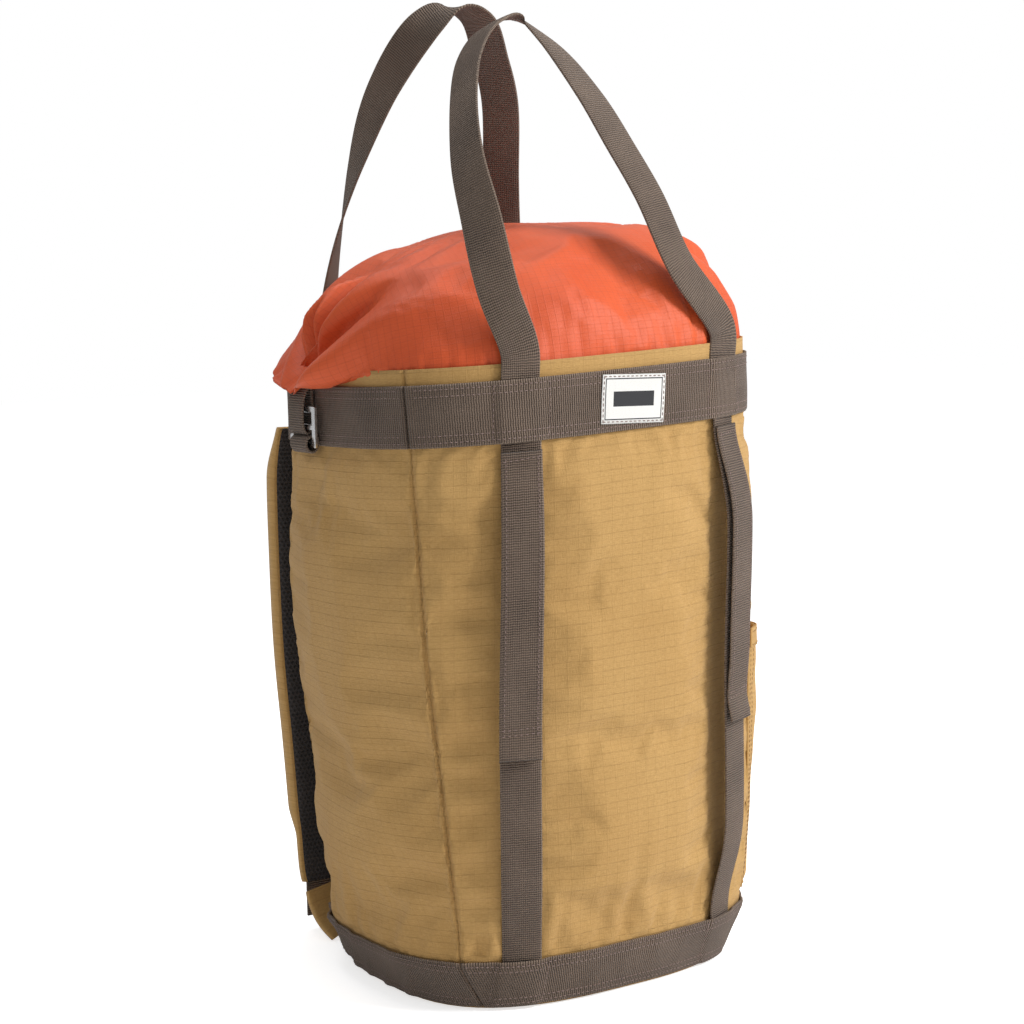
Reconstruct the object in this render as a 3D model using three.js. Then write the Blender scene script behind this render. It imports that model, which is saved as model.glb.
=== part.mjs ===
// A tall cloth bag with two webbing handles, a gathered collar over its mouth, G-hook
// closures at its sides and a pair of shoulder straps on its back.
// Millimetres, +Z up. The front faces -Y. The origin is under the middle, on the floor.
import * as THREE from 'three';

// Driving dimensions
const beltWidth = 38;          // webbing round the mouth
const strapWidth = 25;         // webbing of the handles, straps, tabs and buckles
const webbing = 1.6;           // thickness of all webbing
const cloth = 2;               // body panel with its lining
const clearance = 0.3;         // left between pieces that touch
const beltHeight = 357;        // floor to the lower edge of the mouth belt
const hemHeight = 8;           // panel cloth showing above the mouth belt
const footHeight = 31;         // the walls slant in below this
const baseBeltTop = 34;
const baseThickness = 2.4;
const stiffenerThickness = 3;
const squareness = 2.9;        // 2 is an ellipse, higher is squarer
const fullness = 3;            // how far the walls belly out between base and mouth
const baseSize = { halfWidth: 118, halfDepth: 98, seam: 96 };
const footSize = { halfWidth: 133, halfDepth: 107, seam: 116 };
const mouthSize = { halfWidth: 142, halfDepth: 120, seam: 145 };

const strapPitch = 156;        // between the centres of the two straps on a face
const strapFoot = 12;          // floor to the lower ends of the straps
const sleeveDrop = 5;          // mouth belt to the top of the lash sleeves below it
const sleeveBottom = 165;
const handleRise = 226;        // mouth belt to the top of a handle
const handleLean = -32;        // the handles' tops hang off centre by this much
const handleGap = 14;          // half the space between the two handles' tops

const crownRise = 84;          // mouth to the ridge of the collar
const collarCloth = 1.5;
const flapHalf = 95;           // half width of the two collar flaps that push in
const ridgeGap = 1.5;

const hookWidth = 33;
const hookBar = 4;
const hookThickness = 2.4;
const hookSlot = 7;
const loopClear = 1.4;         // room for a hook's bars inside its webbing loops
const hookDrop = 17;           // mouth belt's upper edge to the top of a G-hook
const hookBack = 18;           // the closures sit this far behind the middle of each side

const labelWidth = 47;
const labelHeight = 30;
const labelThickness = 0.8;
const labelShift = 4;

const pocketTop = 211;
const pocketBottom = 38;
const pocketSwell = 10;        // how far the pocket stands off the side
const pocketInset = 12;
const hemWidth = 9;

const foamThickness = 4;
const meshThickness = 8;       // padded mesh on the back
const meshHalf = 92;
const meshBottom = 48;
const meshDrop = 12;           // mouth belt's lower edge to the top of the pad below it

const padWidth = 56;
const padThickness = 8;
const padMesh = 3;
const padDrop = 7;             // mouth belt's lower edge to the top of a shoulder strap
const padBottom = 72;
const padTopSpread = 84;       // bag's middle to the upper end of a shoulder strap
const padFootSpread = 92;
const padBow = 8;              // how far a shoulder strap stands off the back pad
const wingTop = 36;
const wingFoot = 7;
const wingHalf = 24;           // half width of a wing where it is sewn to the base
const buckleHeight = 26;
const buckleThickness = 3;
const buckleBar = 4;
const tailLength = 44;
const padEndSlant = 2;         // a pad's lower end isn't square to the floor

const beltTop = beltHeight + beltWidth;
const mouthHeight = beltTop + hemHeight;
const panelFoot = baseThickness + clearance;
const sleeveTop = beltHeight - sleeveDrop;
const hookTop = beltTop - hookDrop;
const meshTop = beltHeight - meshDrop;
const padTop = beltHeight - padDrop;
const facet = 9;               // longest step round a corner

// Layers out from the body panels' outer face
const strapLayer = clearance;
const beltLayer = strapLayer + webbing + clearance;
const labelLayer = beltLayer + webbing + clearance;

const tan = { color: 0xc3924f, roughness: 0.85, metalness: 0 };
const brown = { color: 0x5f4d42, roughness: 0.8, metalness: 0 };
const orange = { color: 0xdd5a32, roughness: 0.55, metalness: 0 };
const black = { color: 0x2b2728, roughness: 0.95, metalness: 0 };
const white = { color: 0xe8e6e0, roughness: 0.7, metalness: 0 };
const foam = { color: 0x8a8a86, roughness: 0.9, metalness: 0 };
const aluminium = { color: 0xd5d7da, roughness: 0.25, metalness: 1 };
const nylon = { color: 0x1e1d1e, roughness: 0.5, metalness: 0 };

const bag = new THREE.Group();

function mix(from, to, share) {
  return from + (to - from) * share;
}

// ---- the body's outline at a height ----

function sizeAt(z) {
  const lower = z <= footHeight;
  const share = lower ? z / footHeight : (z - footHeight) / (mouthHeight - footHeight);
  const from = lower ? baseSize : footSize;
  const to = lower ? footSize : mouthSize;
  const belly = lower ? 0 : fullness * Math.sin(Math.PI * share);
  return {
    halfWidth: mix(from.halfWidth, to.halfWidth, share) + belly,
    halfDepth: mix(from.halfDepth, to.halfDepth, share) + belly,
    seam: mix(from.seam, to.seam, share),
  };
}

function pointAtAngle(size, angle, out) {
  const power = 2 / squareness;
  const across = Math.sin(angle);
  const along = -Math.cos(angle);
  return {
    x: (size.halfWidth + out) * Math.sign(across) * Math.abs(across) ** power,
    y: (size.halfDepth + out) * Math.sign(along) * Math.abs(along) ** power,
  };
}

// How far back the body reaches at a distance x from its middle
function depthAt(x, z, out) {
  const size = sizeAt(z);
  const share = Math.abs(x / (size.halfWidth + out)) ** squareness;
  return (size.halfDepth + out) * (1 - share) ** (1 / squareness);
}

const outlines = new Map();

// Distance round the body from the middle of the front, toward +X, for each step of angle
function outlineAt(z) {
  if (!outlines.has(z)) {
    const size = sizeAt(z);
    const steps = 1440;
    const run = [0];
    let last = pointAtAngle(size, 0, 0);
    for (let i = 1; i <= steps; i += 1) {
      const next = pointAtAngle(size, 2 * Math.PI * i / steps, 0);
      run.push(run[i - 1] + Math.hypot(next.x - last.x, next.y - last.y));
      last = next;
    }
    outlines.set(z, { size, steps, run, round: run[steps] });
  }
  return outlines.get(z);
}

// The point `around` millimetres round the body at height z, `out` from the panels' outer face
function wallPoint(z, around, out) {
  const { size, steps, run, round } = outlineAt(z);
  const target = ((around % round) + round) % round;
  let low = 0;
  let high = steps;
  while (high - low > 1) {
    const middle = Math.floor((low + high) / 2);
    if (run[middle] > target) high = middle;
    else low = middle;
  }
  const part = (target - run[low]) / (run[high] - run[low]);
  const place = pointAtAngle(size, 2 * Math.PI * (low + part) / steps, out);
  return new THREE.Vector3(place.x, place.y, z);
}

// Start and end of each face's panel, round the body
const faces = {
  front: (round, seam) => [-seam, seam],
  right: (round, seam) => [seam, round / 2 - seam],
  back: (round, seam) => [round / 2 - seam, round / 2 + seam],
  left: (round, seam) => [round / 2 + seam, round - seam],
};

function spanAt(face, z) {
  const { size, round } = outlineAt(z);
  return faces[face](round, size.seam);
}

// ---- makers ----

function addPiece(name, geometry, look) {
  const mesh = new THREE.Mesh(geometry, new THREE.MeshStandardMaterial(look));
  mesh.name = name;
  bag.add(mesh);
  return mesh;
}

// A block of columns by rows, each vertex put where place(u, row, w) says:
// u runs 0..1 across, row is a whole number from the bottom, w is 0 inside and 1 outside
function bentBlock(columns, rows, place) {
  const geometry = new THREE.BoxGeometry(1, 1, 1, columns, rows, 1);
  const spots = geometry.attributes.position;
  for (let i = 0; i < spots.count; i += 1) {
    const u = spots.getX(i) + 0.5;
    const row = Math.round((spots.getY(i) + 0.5) * rows);
    const spot = place(u, row, spots.getZ(i) + 0.5);
    spots.setXYZ(i, spot.x, spot.y, spot.z);
  }
  geometry.computeVertexNormals();
  return geometry;
}

function evenSteps(from, to, count) {
  return Array.from({ length: count + 1 }, (_, i) => mix(from, to, i / count));
}

function mirrorBack(spot) {
  return new THREE.Vector3(spot.x, -spot.y, spot.z);
}

function mirrorSide(spot) {
  return new THREE.Vector3(-spot.x, spot.y, spot.z);
}

// A layer over one whole face of the body, between seams
function faceLayer(face, heights, inner, thickness, inset = clearance / 2) {
  const widest = spanAt(face, heights[heights.length - 1]);
  const columns = Math.ceil((widest[1] - widest[0]) / facet);
  return bentBlock(columns, heights.length - 1, (u, row, w) => {
    const z = heights[row];
    const [start, end] = spanAt(face, z);
    return wallPoint(z, mix(start + inset, end - inset, u), inner + w * thickness);
  });
}

// A strip of webbing up the body, centred `middle` round from the front (or the back)
function wallStrip(face, middle, width, heights, inner, thickness) {
  const columns = Math.ceil(width / facet);
  return bentBlock(columns, heights.length - 1, (u, row, w) => {
    const z = heights[row];
    const half = face === 'back' ? outlineAt(z).round / 2 : 0;
    return wallPoint(z, half + middle + (u - 0.5) * width, inner + w * thickness);
  });
}

// ---- body ----

function makePanels() {
  const heights = [panelFoot, footHeight, ...evenSteps(footHeight, mouthHeight, 5).slice(1)];
  for (const face of Object.keys(faces)) {
    addPiece(`${face}_panel`, faceLayer(face, heights, -cloth, cloth), tan);
  }
}

// A flat sheet of the body's outline at height z, pulled in by `inset`
function outlineSheet(z, inset, thickness) {
  const shape = new THREE.Shape();
  const steps = 72;
  const { round } = outlineAt(z);
  for (let i = 0; i < steps; i += 1) {
    const spot = wallPoint(z, round * i / steps, -inset);
    if (i === 0) shape.moveTo(spot.x, spot.y);
    else shape.lineTo(spot.x, spot.y);
  }
  shape.closePath();
  return new THREE.ExtrudeGeometry(shape, { depth: thickness, bevelEnabled: false });
}

function makeBase() {
  addPiece('base_panel', outlineSheet(0, 0, baseThickness), tan);
  const stiffener = outlineSheet(0, cloth + clearance, stiffenerThickness);
  addPiece('base_stiffener', stiffener, foam).position.z = panelFoot;
}

function makeBelts() {
  const baseHeights = [panelFoot, footHeight, baseBeltTop];
  for (const face of Object.keys(faces)) {
    const mouthBelt = faceLayer(face, [beltHeight, beltTop], beltLayer, webbing);
    addPiece(`mouth_belt_${face}`, mouthBelt, brown);
    addPiece(`base_belt_${face}`, faceLayer(face, baseHeights, beltLayer, webbing), brown);
  }
}

function makeStraps() {
  const heights = [strapFoot, footHeight, ...evenSteps(footHeight, beltTop, 5).slice(1)];
  const sleeveHeights = evenSteps(sleeveBottom, sleeveTop, 3);
  for (const [side, sign] of [['left', -1], ['right', 1]]) {
    const middle = sign * strapPitch / 2;
    const front = wallStrip('front', middle, strapWidth, heights, strapLayer, webbing);
    const rear = wallStrip('back', -middle, strapWidth, heights, strapLayer, webbing);
    const sleeve = wallStrip('front', middle, strapWidth, sleeveHeights, beltLayer, webbing);
    addPiece(`front_strap_${side}`, front, brown);
    addPiece(`rear_strap_${side}`, rear, brown);
    addPiece(`lash_sleeve_${side}`, sleeve, brown);
  }
}

function makeLabel() {
  const middle = beltHeight + beltWidth / 2;
  const heights = [middle - labelHeight / 2, middle + labelHeight / 2];
  const label = wallStrip('front', labelShift, labelWidth, heights, labelLayer, labelThickness);
  addPiece('label_patch', label, white);
}

// An open-topped pocket on the right side: it leaves the panel at its sides and foot
function makePocket() {
  const heights = [pocketBottom, pocketBottom + 4, pocketBottom + 12,
    ...evenSteps(pocketBottom + 12, pocketTop, 3).slice(1)];
  const swell = (u, z, width) => {
    const edge = Math.min(u * width, (1 - u) * width, z - pocketBottom);
    return clearance + pocketSwell * Math.min(1, edge / pocketSwell);
  };
  const place = (inner, thickness, zs) => (u, row, w) => {
    const z = zs[row];
    const [start, end] = spanAt('right', z);
    const width = end - start - 2 * pocketInset;
    const around = start + pocketInset + u * width;
    return wallPoint(z, around, swell(u, z, width) + inner + w * thickness);
  };
  addPiece('side_pocket', bentBlock(18, heights.length - 1, place(0, webbing, heights)), tan);
  const hem = place(webbing + clearance, 1, [pocketTop - hemWidth, pocketTop]);
  addPiece('pocket_hem', bentBlock(18, 1, hem), brown);
}

// ---- back ----

function makeBackPads() {
  const heights = evenSteps(meshBottom, meshTop, 5);
  const columns = Math.ceil(2 * meshHalf / facet);
  const layer = (inner, thickness) => bentBlock(columns, 5, (u, row, w) => {
    const z = heights[row];
    const around = outlineAt(z).round / 2 + mix(-meshHalf, meshHalf, u);
    return wallPoint(z, around, inner + w * thickness);
  });
  const foamInside = -cloth - clearance - foamThickness;
  addPiece('back_foam', layer(foamInside, foamThickness), foam);
  addPiece('back_mesh_pad', layer(beltLayer, meshThickness), black);
}

// ---- webbing that leaves the body ----

// A ribbon along a route: widthAt(v) gives the direction across it
function ribbon(route, steps, width, inner, thickness, widthAt) {
  return bentBlock(1, steps, (u, row, w) => {
    const v = row / steps;
    const along = route.getTangentAt(v);
    const across = widthAt(v);
    across.addScaledVector(along, -across.dot(along)).normalize();
    const outward = new THREE.Vector3().crossVectors(across, along);
    const spot = route.getPointAt(v);
    spot.addScaledVector(across, (u - 0.5) * width);
    return spot.addScaledVector(outward, inner + w * thickness);
  });
}

// A handle rises from behind the mouth belt and turns edge-on toward its top
function makeHandles() {
  const start = beltTop + clearance;
  const legOut = strapLayer + webbing / 2;
  const foot = wallPoint(mouthHeight, strapPitch / 2, legOut);
  const inward = wallPoint(mouthHeight, strapPitch / 2 - 1, legOut);
  const slant = Math.atan2(foot.y - inward.y, foot.x - inward.x);
  const upright = hemHeight + 6;
  const routeSpot = (x, rise) => {
    const closeIn = Math.max(0, (rise - upright) / (handleRise - upright)) ** 1.7;
    return new THREE.Vector3(x, -mix(-foot.y, handleGap, closeIn), start + rise);
  };
  const route = new THREE.CatmullRomCurve3([
    routeSpot(-foot.x, 0),
    routeSpot(-foot.x, upright),
    routeSpot(-foot.x - 4, handleRise * 0.28),
    routeSpot(-foot.x - 9, handleRise * 0.56),
    routeSpot(-foot.x + 10, handleRise * 0.83),
    routeSpot(handleLean, handleRise),
    routeSpot(handleLean + 38, handleRise * 0.87),
    routeSpot(handleLean + 62, handleRise * 0.6),
    routeSpot(foot.x - 18, handleRise * 0.3),
    routeSpot(foot.x, upright),
    routeSpot(foot.x, 0),
  ], false, 'centripetal');
  const widthAt = (v) => {
    const ease = v * v * (3 - 2 * v);
    const turn = mix(slant, Math.PI - slant, ease);
    return new THREE.Vector3(Math.cos(turn), -Math.sin(turn), 0);
  };
  const front = ribbon(route, 46, strapWidth, -webbing / 2, webbing, widthAt);
  addPiece('front_handle', front, brown);
  const rear = front.clone();
  mirrorGeometry(rear, mirrorBack);
  addPiece('rear_handle', rear, brown);
}

// Mirrors a geometry through a plane and turns its faces outward again
function mirrorGeometry(geometry, mirror) {
  const spots = geometry.attributes.position;
  for (let i = 0; i < spots.count; i += 1) {
    const spot = mirror(new THREE.Vector3().fromBufferAttribute(spots, i));
    spots.setXYZ(i, spot.x, spot.y, spot.z);
  }
  const order = geometry.index.array;
  for (let i = 0; i < order.length; i += 3) {
    [order[i], order[i + 1]] = [order[i + 1], order[i]];
  }
  geometry.computeVertexNormals();
}

// ---- collar ----

function ridgeHeight(x) {
  return crownRise * Math.sqrt(1 - Math.abs(x / mouthSize.halfWidth) ** 3);
}

// Front half of the collar's dome: lift runs 0 at the mouth to a right angle at the ridge
function domePoint(x, lift, out) {
  const depth = (depthAt(x, mouthHeight, 0) + out) * Math.cos(lift);
  const height = (ridgeHeight(x) + out) * Math.sin(lift);
  return new THREE.Vector3(x, -depth, mouthHeight + clearance + height);
}

function makeCollar() {
  const lastLift = Math.PI / 2 - Math.asin(ridgeGap / mouthSize.halfDepth);
  const rows = 7;
  const flap = bentBlock(14, rows, (u, row, w) => {
    const x = mix(-flapHalf, flapHalf, u);
    return domePoint(x, lastLift * row / rows, (w - 1) * collarCloth);
  });
  addPiece('collar_front', flap, orange);
  const rear = flap.clone();
  mirrorGeometry(rear, mirrorBack);
  addPiece('collar_rear', rear, orange);

  // Each end of the collar fans from the mouth up to the end of the ridge
  const { run, steps } = outlineAt(mouthHeight);
  const edge = flapHalf + clearance;
  let first = 0;
  while (pointAtAngle(mouthSize, 2 * Math.PI * first / steps, 0).x < edge) first += 1;
  const from = run[first];
  const to = outlineAt(mouthHeight).round / 2 - from;
  const top = ridgeHeight(edge);
  const fan = bentBlock(20, rows, (u, row, w) => {
    const spot = wallPoint(mouthHeight, mix(from, to, u), 0);
    const reach = Math.hypot(spot.x - edge, spot.y);
    const out = (w - 1) * collarCloth;
    const lift = lastLift * 0.96 * row / rows;
    const pull = (1 + out / Math.max(reach, 20)) * Math.cos(lift);
    const height = (top + out) * Math.sin(lift);
    return new THREE.Vector3(
      edge + (spot.x - edge) * pull,
      spot.y * pull,
      mouthHeight + clearance + height,
    );
  });
  addPiece('collar_right_end', fan, orange);
  const left = fan.clone();
  mirrorGeometry(left, mirrorSide);
  addPiece('collar_left_end', left, orange);
}

// ---- closures ----

function loopShape(width, height, wall, holeHeight) {
  const shape = new THREE.Shape();
  shape.moveTo(0, 0);
  shape.lineTo(width, 0);
  shape.lineTo(width, height);
  shape.lineTo(0, height);
  shape.closePath();
  const hole = new THREE.Path();
  hole.moveTo(wall, wall);
  hole.lineTo(wall, wall + holeHeight);
  hole.lineTo(width - wall, wall + holeHeight);
  hole.lineTo(width - wall, wall);
  hole.closePath();
  shape.holes.push(hole);
  return shape;
}

// The G: an upper slot for the tab, a crossbar, and a lower slot open at one side
function hookShape() {
  const half = hookWidth / 2;
  const crossbar = hookBar + hookSlot;
  const top = crossbar + hookBar + hookSlot + hookBar;
  const shape = new THREE.Shape();
  shape.moveTo(-half, 0);
  shape.lineTo(half, 0);
  shape.lineTo(half, top);
  shape.lineTo(-half, top);
  shape.lineTo(-half, crossbar);
  shape.lineTo(half - hookBar, crossbar);
  shape.lineTo(half - hookBar, hookBar);
  shape.lineTo(hookBar - half, hookBar);
  shape.lineTo(hookBar - half, crossbar - 3);
  shape.lineTo(-half, crossbar - 3);
  shape.closePath();
  const slot = new THREE.Path();
  slot.moveTo(hookBar - half, crossbar + hookBar);
  slot.lineTo(hookBar - half, top - hookBar);
  slot.lineTo(half - hookBar, top - hookBar);
  slot.lineTo(half - hookBar, crossbar + hookBar);
  slot.closePath();
  shape.holes.push(slot);
  return { shape, top };
}

function makeClosures() {
  const { shape, top } = hookShape();
  const hookFoot = hookTop - top;
  const crossbar = hookFoot + hookBar + hookSlot;
  const loopDepth = hookThickness + 2 * (loopClear + webbing);
  const side = mouthSize.halfWidth + labelLayer;

  // The loops are drawn out from the wall (x) by up (y), and run along the wall
  const tabFoot = crossbar - loopClear - webbing;
  const tabHeight = mouthHeight + 4 - tabFoot;
  const tabShape = loopShape(loopDepth, tabHeight, webbing, hookBar + hookSlot + hookBar + 2);
  const keeperTop = hookFoot + hookBar + loopClear + webbing;
  const keeperHeight = hookBar + 2 * (loopClear + webbing);
  const keeperReach = Math.max(0, side - labelLayer - sizeAt(beltHeight).halfWidth);
  const keeperShape = loopShape(loopDepth + keeperReach, keeperHeight, webbing, hookBar + 2 * loopClear);

  for (const [name, sign] of [['left', -1], ['right', 1]]) {
    const stand = new THREE.Group();
    stand.position.set(sign * side, hookBack, 0);
    stand.rotation.z = sign > 0 ? 0 : Math.PI;
    bag.add(stand);
    const loop = (piece, drawn, width, foot, inward) => {
      const geometry = new THREE.ExtrudeGeometry(drawn, { depth: width, bevelEnabled: false });
      const mesh = addPiece(`${name}_${piece}`, geometry, brown);
      mesh.rotation.x = Math.PI / 2;
      mesh.position.set(-inward, width / 2, foot);
      stand.add(mesh);
    };
    loop('tab', tabShape, hookWidth - 2 * hookBar - 1, tabFoot, 0);
    loop('keeper', keeperShape, hookWidth - 2 * hookBar - 3, keeperTop - keeperHeight, keeperReach);
    const flat = new THREE.ExtrudeGeometry(shape, { depth: hookThickness, bevelEnabled: false });
    const hook = addPiece(`${name}_g_hook`, flat, aluminium);
    hook.rotation.set(Math.PI / 2, Math.PI / 2, 0);
    hook.position.set(webbing + loopClear, 0, hookFoot);
    stand.add(hook);
  }
}

// ---- shoulder straps ----

function frameShape(width, height, bar, slots) {
  const shape = new THREE.Shape();
  shape.moveTo(-width / 2, 0);
  shape.lineTo(width / 2, 0);
  shape.lineTo(width / 2, height);
  shape.lineTo(-width / 2, height);
  shape.closePath();
  const slot = (height - (slots + 1) * bar) / slots;
  for (let i = 0; i < slots; i += 1) {
    const foot = bar + i * (slot + bar);
    const hole = new THREE.Path();
    hole.moveTo(bar - width / 2, foot);
    hole.lineTo(bar - width / 2, foot + slot);
    hole.lineTo(width / 2 - bar, foot + slot);
    hole.lineTo(width / 2 - bar, foot);
    hole.closePath();
    shape.holes.push(hole);
  }
  return { shape, slot };
}

function makeShoulderStraps() {
  const backOut = beltLayer + meshThickness + clearance;
  const across = () => new THREE.Vector3(-1, 0, 0);
  // The strap's inner edge is where the body comes nearest to it
  const standOff = (x, z, out) => {
    const depth = depthAt(x - padWidth / 2, z, backOut);
    return new THREE.Vector3(x, depth + out, z);
  };
  const footSpot = standOff(padFootSpread, padBottom, padBow);
  const route = new THREE.CatmullRomCurve3([
    footSpot,
    standOff(mix(padFootSpread, padTopSpread, 0.2), mix(padBottom, padTop, 0.33), padBow),
    standOff(mix(padFootSpread, padTopSpread, 0.5), mix(padBottom, padTop, 0.7), padBow),
    standOff(padTopSpread, padTop, 1),
  ], false, 'centripetal');
  const pad = ribbon(route, 10, padWidth, padMesh + clearance, padThickness, across);
  const mesh = ribbon(route, 10, padWidth - 4, 0, padMesh, across);

  // The ladder lock hangs below the pad, its slots crossed by the two lengths of webbing
  const width = strapWidth + 1 + 2 * buckleBar;
  const { shape, slot } = frameShape(width, buckleHeight, buckleBar, 2);
  const middle = padMesh + padThickness / 2;
  const buckleTop = padBottom - 6;
  const buckleFoot = buckleTop - buckleHeight;
  const y = footSpot.y + middle;
  const lock = new THREE.ExtrudeGeometry(shape, { depth: buckleThickness, bevelEnabled: false });
  lock.rotateX(Math.PI / 2);
  lock.translate(padFootSpread, y + buckleThickness / 2, buckleFoot);

  // Webbing hooked over a bar: two legs joined by a half turn, drawn with the legs down
  const inside = Math.hypot(buckleBar, buckleThickness) / 2 + clearance;
  const outside = inside + webbing;
  const turn = (barHeight, nearLeg, farLeg, over) => {
    const drawn = new THREE.Shape();
    drawn.moveTo(-outside, -nearLeg);
    drawn.lineTo(-outside, 0);
    drawn.absarc(0, 0, outside, Math.PI, 0, true);
    drawn.lineTo(outside, -farLeg);
    drawn.lineTo(inside, -farLeg);
    drawn.lineTo(inside, 0);
    drawn.absarc(0, 0, inside, 0, Math.PI, false);
    drawn.lineTo(-inside, -nearLeg);
    drawn.closePath();
    const settings = { depth: strapWidth, bevelEnabled: false, curveSegments: 8 };
    const geometry = new THREE.ExtrudeGeometry(drawn, settings);
    geometry.translate(0, 0, -strapWidth / 2);
    const [x, yAxis, z] = [new THREE.Vector3(1, 0, 0), new THREE.Vector3(0, 1, 0),
      new THREE.Vector3(0, 0, 1)];
    geometry.applyMatrix4(new THREE.Matrix4().makeBasis(yAxis, z, x));
    if (!over) geometry.rotateX(Math.PI);
    geometry.translate(padFootSpread, y, barHeight);
    return geometry;
  };
  const topBar = buckleTop - buckleBar / 2;
  const middleBar = buckleFoot + buckleBar * 1.5 + slot;
  const tabLeg = padBottom - padEndSlant - topBar;
  const tab = turn(topBar, tabLeg, tabLeg, false);
  const lower = turn(middleBar, middleBar - wingTop - clearance, tailLength, true);

  // The wing lies on the base belt at its foot and reaches out to the lower webbing
  const wingOut = beltLayer + webbing + 2 * clearance;
  const reach = y - outside;
  const wing = bentBlock(6, 3, (u, row, w) => {
    const rise = row / 3;
    const foot = outlineAt(wingFoot).round / 2 - padFootSpread + (u - 0.5) * 2 * wingHalf;
    const sewn = wallPoint(wingFoot, foot, wingOut + w * webbing);
    const x = padFootSpread - (u - 0.5) * (strapWidth + 2);
    const free = new THREE.Vector3(x, reach + w * webbing, wingTop);
    return sewn.lerp(free, rise);
  });

  for (const [piece, geometry, look] of [
    ['shoulder_pad', pad, tan], ['shoulder_mesh', mesh, black], ['ladder_lock', lock, nylon],
    ['buckle_tab', tab, brown], ['lower_webbing', lower, brown], ['strap_wing', wing, tan],
  ]) {
    addPiece(`right_${piece}`, geometry, look);
    const left = geometry.clone();
    if (!left.index) left.setIndex([...Array(left.attributes.position.count).keys()]);
    mirrorGeometry(left, mirrorSide);
    addPiece(`left_${piece}`, left, look);
  }
}

makePanels();
makeBase();
makeBelts();
makeStraps();
makeLabel();
makePocket();
makeBackPads();
makeHandles();
makeCollar();
makeClosures();
makeShoulderStraps();

// The origin is under the middle of the whole object, so the body sits a little forward
const whole = new THREE.Box3().setFromObject(bag);
bag.position.x = -(whole.min.x + whole.max.x) / 2;
bag.position.y = -(whole.min.y + whole.max.y) / 2;

export default bag;
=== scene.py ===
import math

import bmesh
import bpy
import numpy as np
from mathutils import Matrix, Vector


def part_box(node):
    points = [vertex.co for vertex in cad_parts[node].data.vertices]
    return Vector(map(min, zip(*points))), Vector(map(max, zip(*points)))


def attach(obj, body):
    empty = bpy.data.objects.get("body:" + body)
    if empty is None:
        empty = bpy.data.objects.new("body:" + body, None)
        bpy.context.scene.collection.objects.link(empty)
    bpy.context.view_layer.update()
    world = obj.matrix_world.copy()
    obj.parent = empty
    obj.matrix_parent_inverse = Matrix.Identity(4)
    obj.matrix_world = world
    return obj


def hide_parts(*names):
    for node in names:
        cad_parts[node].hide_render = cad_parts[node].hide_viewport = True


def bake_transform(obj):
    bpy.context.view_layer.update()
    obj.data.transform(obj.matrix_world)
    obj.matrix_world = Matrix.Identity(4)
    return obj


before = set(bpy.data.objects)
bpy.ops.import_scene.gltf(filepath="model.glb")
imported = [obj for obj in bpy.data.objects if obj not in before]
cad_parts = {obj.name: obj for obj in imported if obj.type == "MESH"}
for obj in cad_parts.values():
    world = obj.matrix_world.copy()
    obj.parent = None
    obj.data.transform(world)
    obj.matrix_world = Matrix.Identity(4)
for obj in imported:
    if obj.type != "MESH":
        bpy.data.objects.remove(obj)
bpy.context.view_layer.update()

# The body's outline, in metres: half width, half depth and half the front panel at three heights
bodyForm = {
    "base": (0.118, 0.098, 0.096),
    "foot": (0.133, 0.107, 0.116),
    "mouth": (0.142, 0.120, 0.145),
    "footHeight": 0.031,
    "mouthHeight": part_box("front_panel")[1].z,
    "belly": 0.003,
    "squareness": 2.9,
    "middle": (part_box("front_panel")[0].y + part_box("back_panel")[1].y) / 2,
}
beltForm = {
    "foot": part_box("mouth_belt_front")[0].z,
    "top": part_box("mouth_belt_front")[1].z,
    "baseFoot": 0.0015,
    "baseTop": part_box("base_belt_front")[1].z,
    "thickness": 0.0016,
}
strapForm = {"width": 0.025, "thickness": 0.0016, "centre": 0.078, "frontShift": 0.0045, "standOff": 0.0062}
leanForm = {"back": 0.0035, "side": -0.0038, "sideMiddle": -0.0028, "tiltX": 0.040, "tiltY": -0.020}


def smooth(value, low, high):
    share = np.clip((np.asarray(value, float) - low) / (high - low), 0, 1)
    return share * share * (3 - 2 * share)


def mix(low, high, share):
    return low + (high - low) * share


def sizeAt(z):
    form = bodyForm
    if z <= form["footHeight"]:
        share = max(z, 0) / form["footHeight"]
        return tuple(mix(a, b, share) for a, b in zip(form["base"], form["foot"]))
    share = (z - form["footHeight"]) / (form["mouthHeight"] - form["footHeight"])
    belly = form["belly"] * math.sin(math.pi * min(share, 1))
    width, depth, seam = (mix(a, b, share) for a, b in zip(form["foot"], form["mouth"]))
    return width + belly, depth + belly, seam


outlines = {}


def outlineAt(z):
    key = round(z, 6)
    if key not in outlines:
        width, depth, _ = sizeAt(z)
        angle = np.linspace(0, 2 * math.pi, 2881)
        power = 2 / bodyForm["squareness"]
        x = np.sign(np.sin(angle)) * np.abs(np.sin(angle)) ** power
        y = -np.sign(np.cos(angle)) * np.abs(np.cos(angle)) ** power
        run = np.concatenate([[0], np.cumsum(np.hypot(np.diff(x * width), np.diff(y * depth)))])
        outlines[key] = (x, y, run, width, depth, run[-1])
    return outlines[key]


def roundAt(z):
    return outlineAt(z)[-1]


def wall(z, around, out):
    # Points round the body at one height, out from the cloth's outer face
    x, y, run, width, depth, length = outlineAt(z)
    place = np.mod(np.asarray(around, float), length)
    unitX, unitY = np.interp(place, run, x), np.interp(place, run, y)
    out = np.asarray(out, float) + swell(z, place, length)
    flat = np.stack([unitX * (width + out), unitY * (depth + out)], -1)
    points = np.concatenate([flat, np.full(flat.shape[:-1] + (1,), float(z))], -1)
    points[..., 1] += bodyForm["middle"]
    return points


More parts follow.
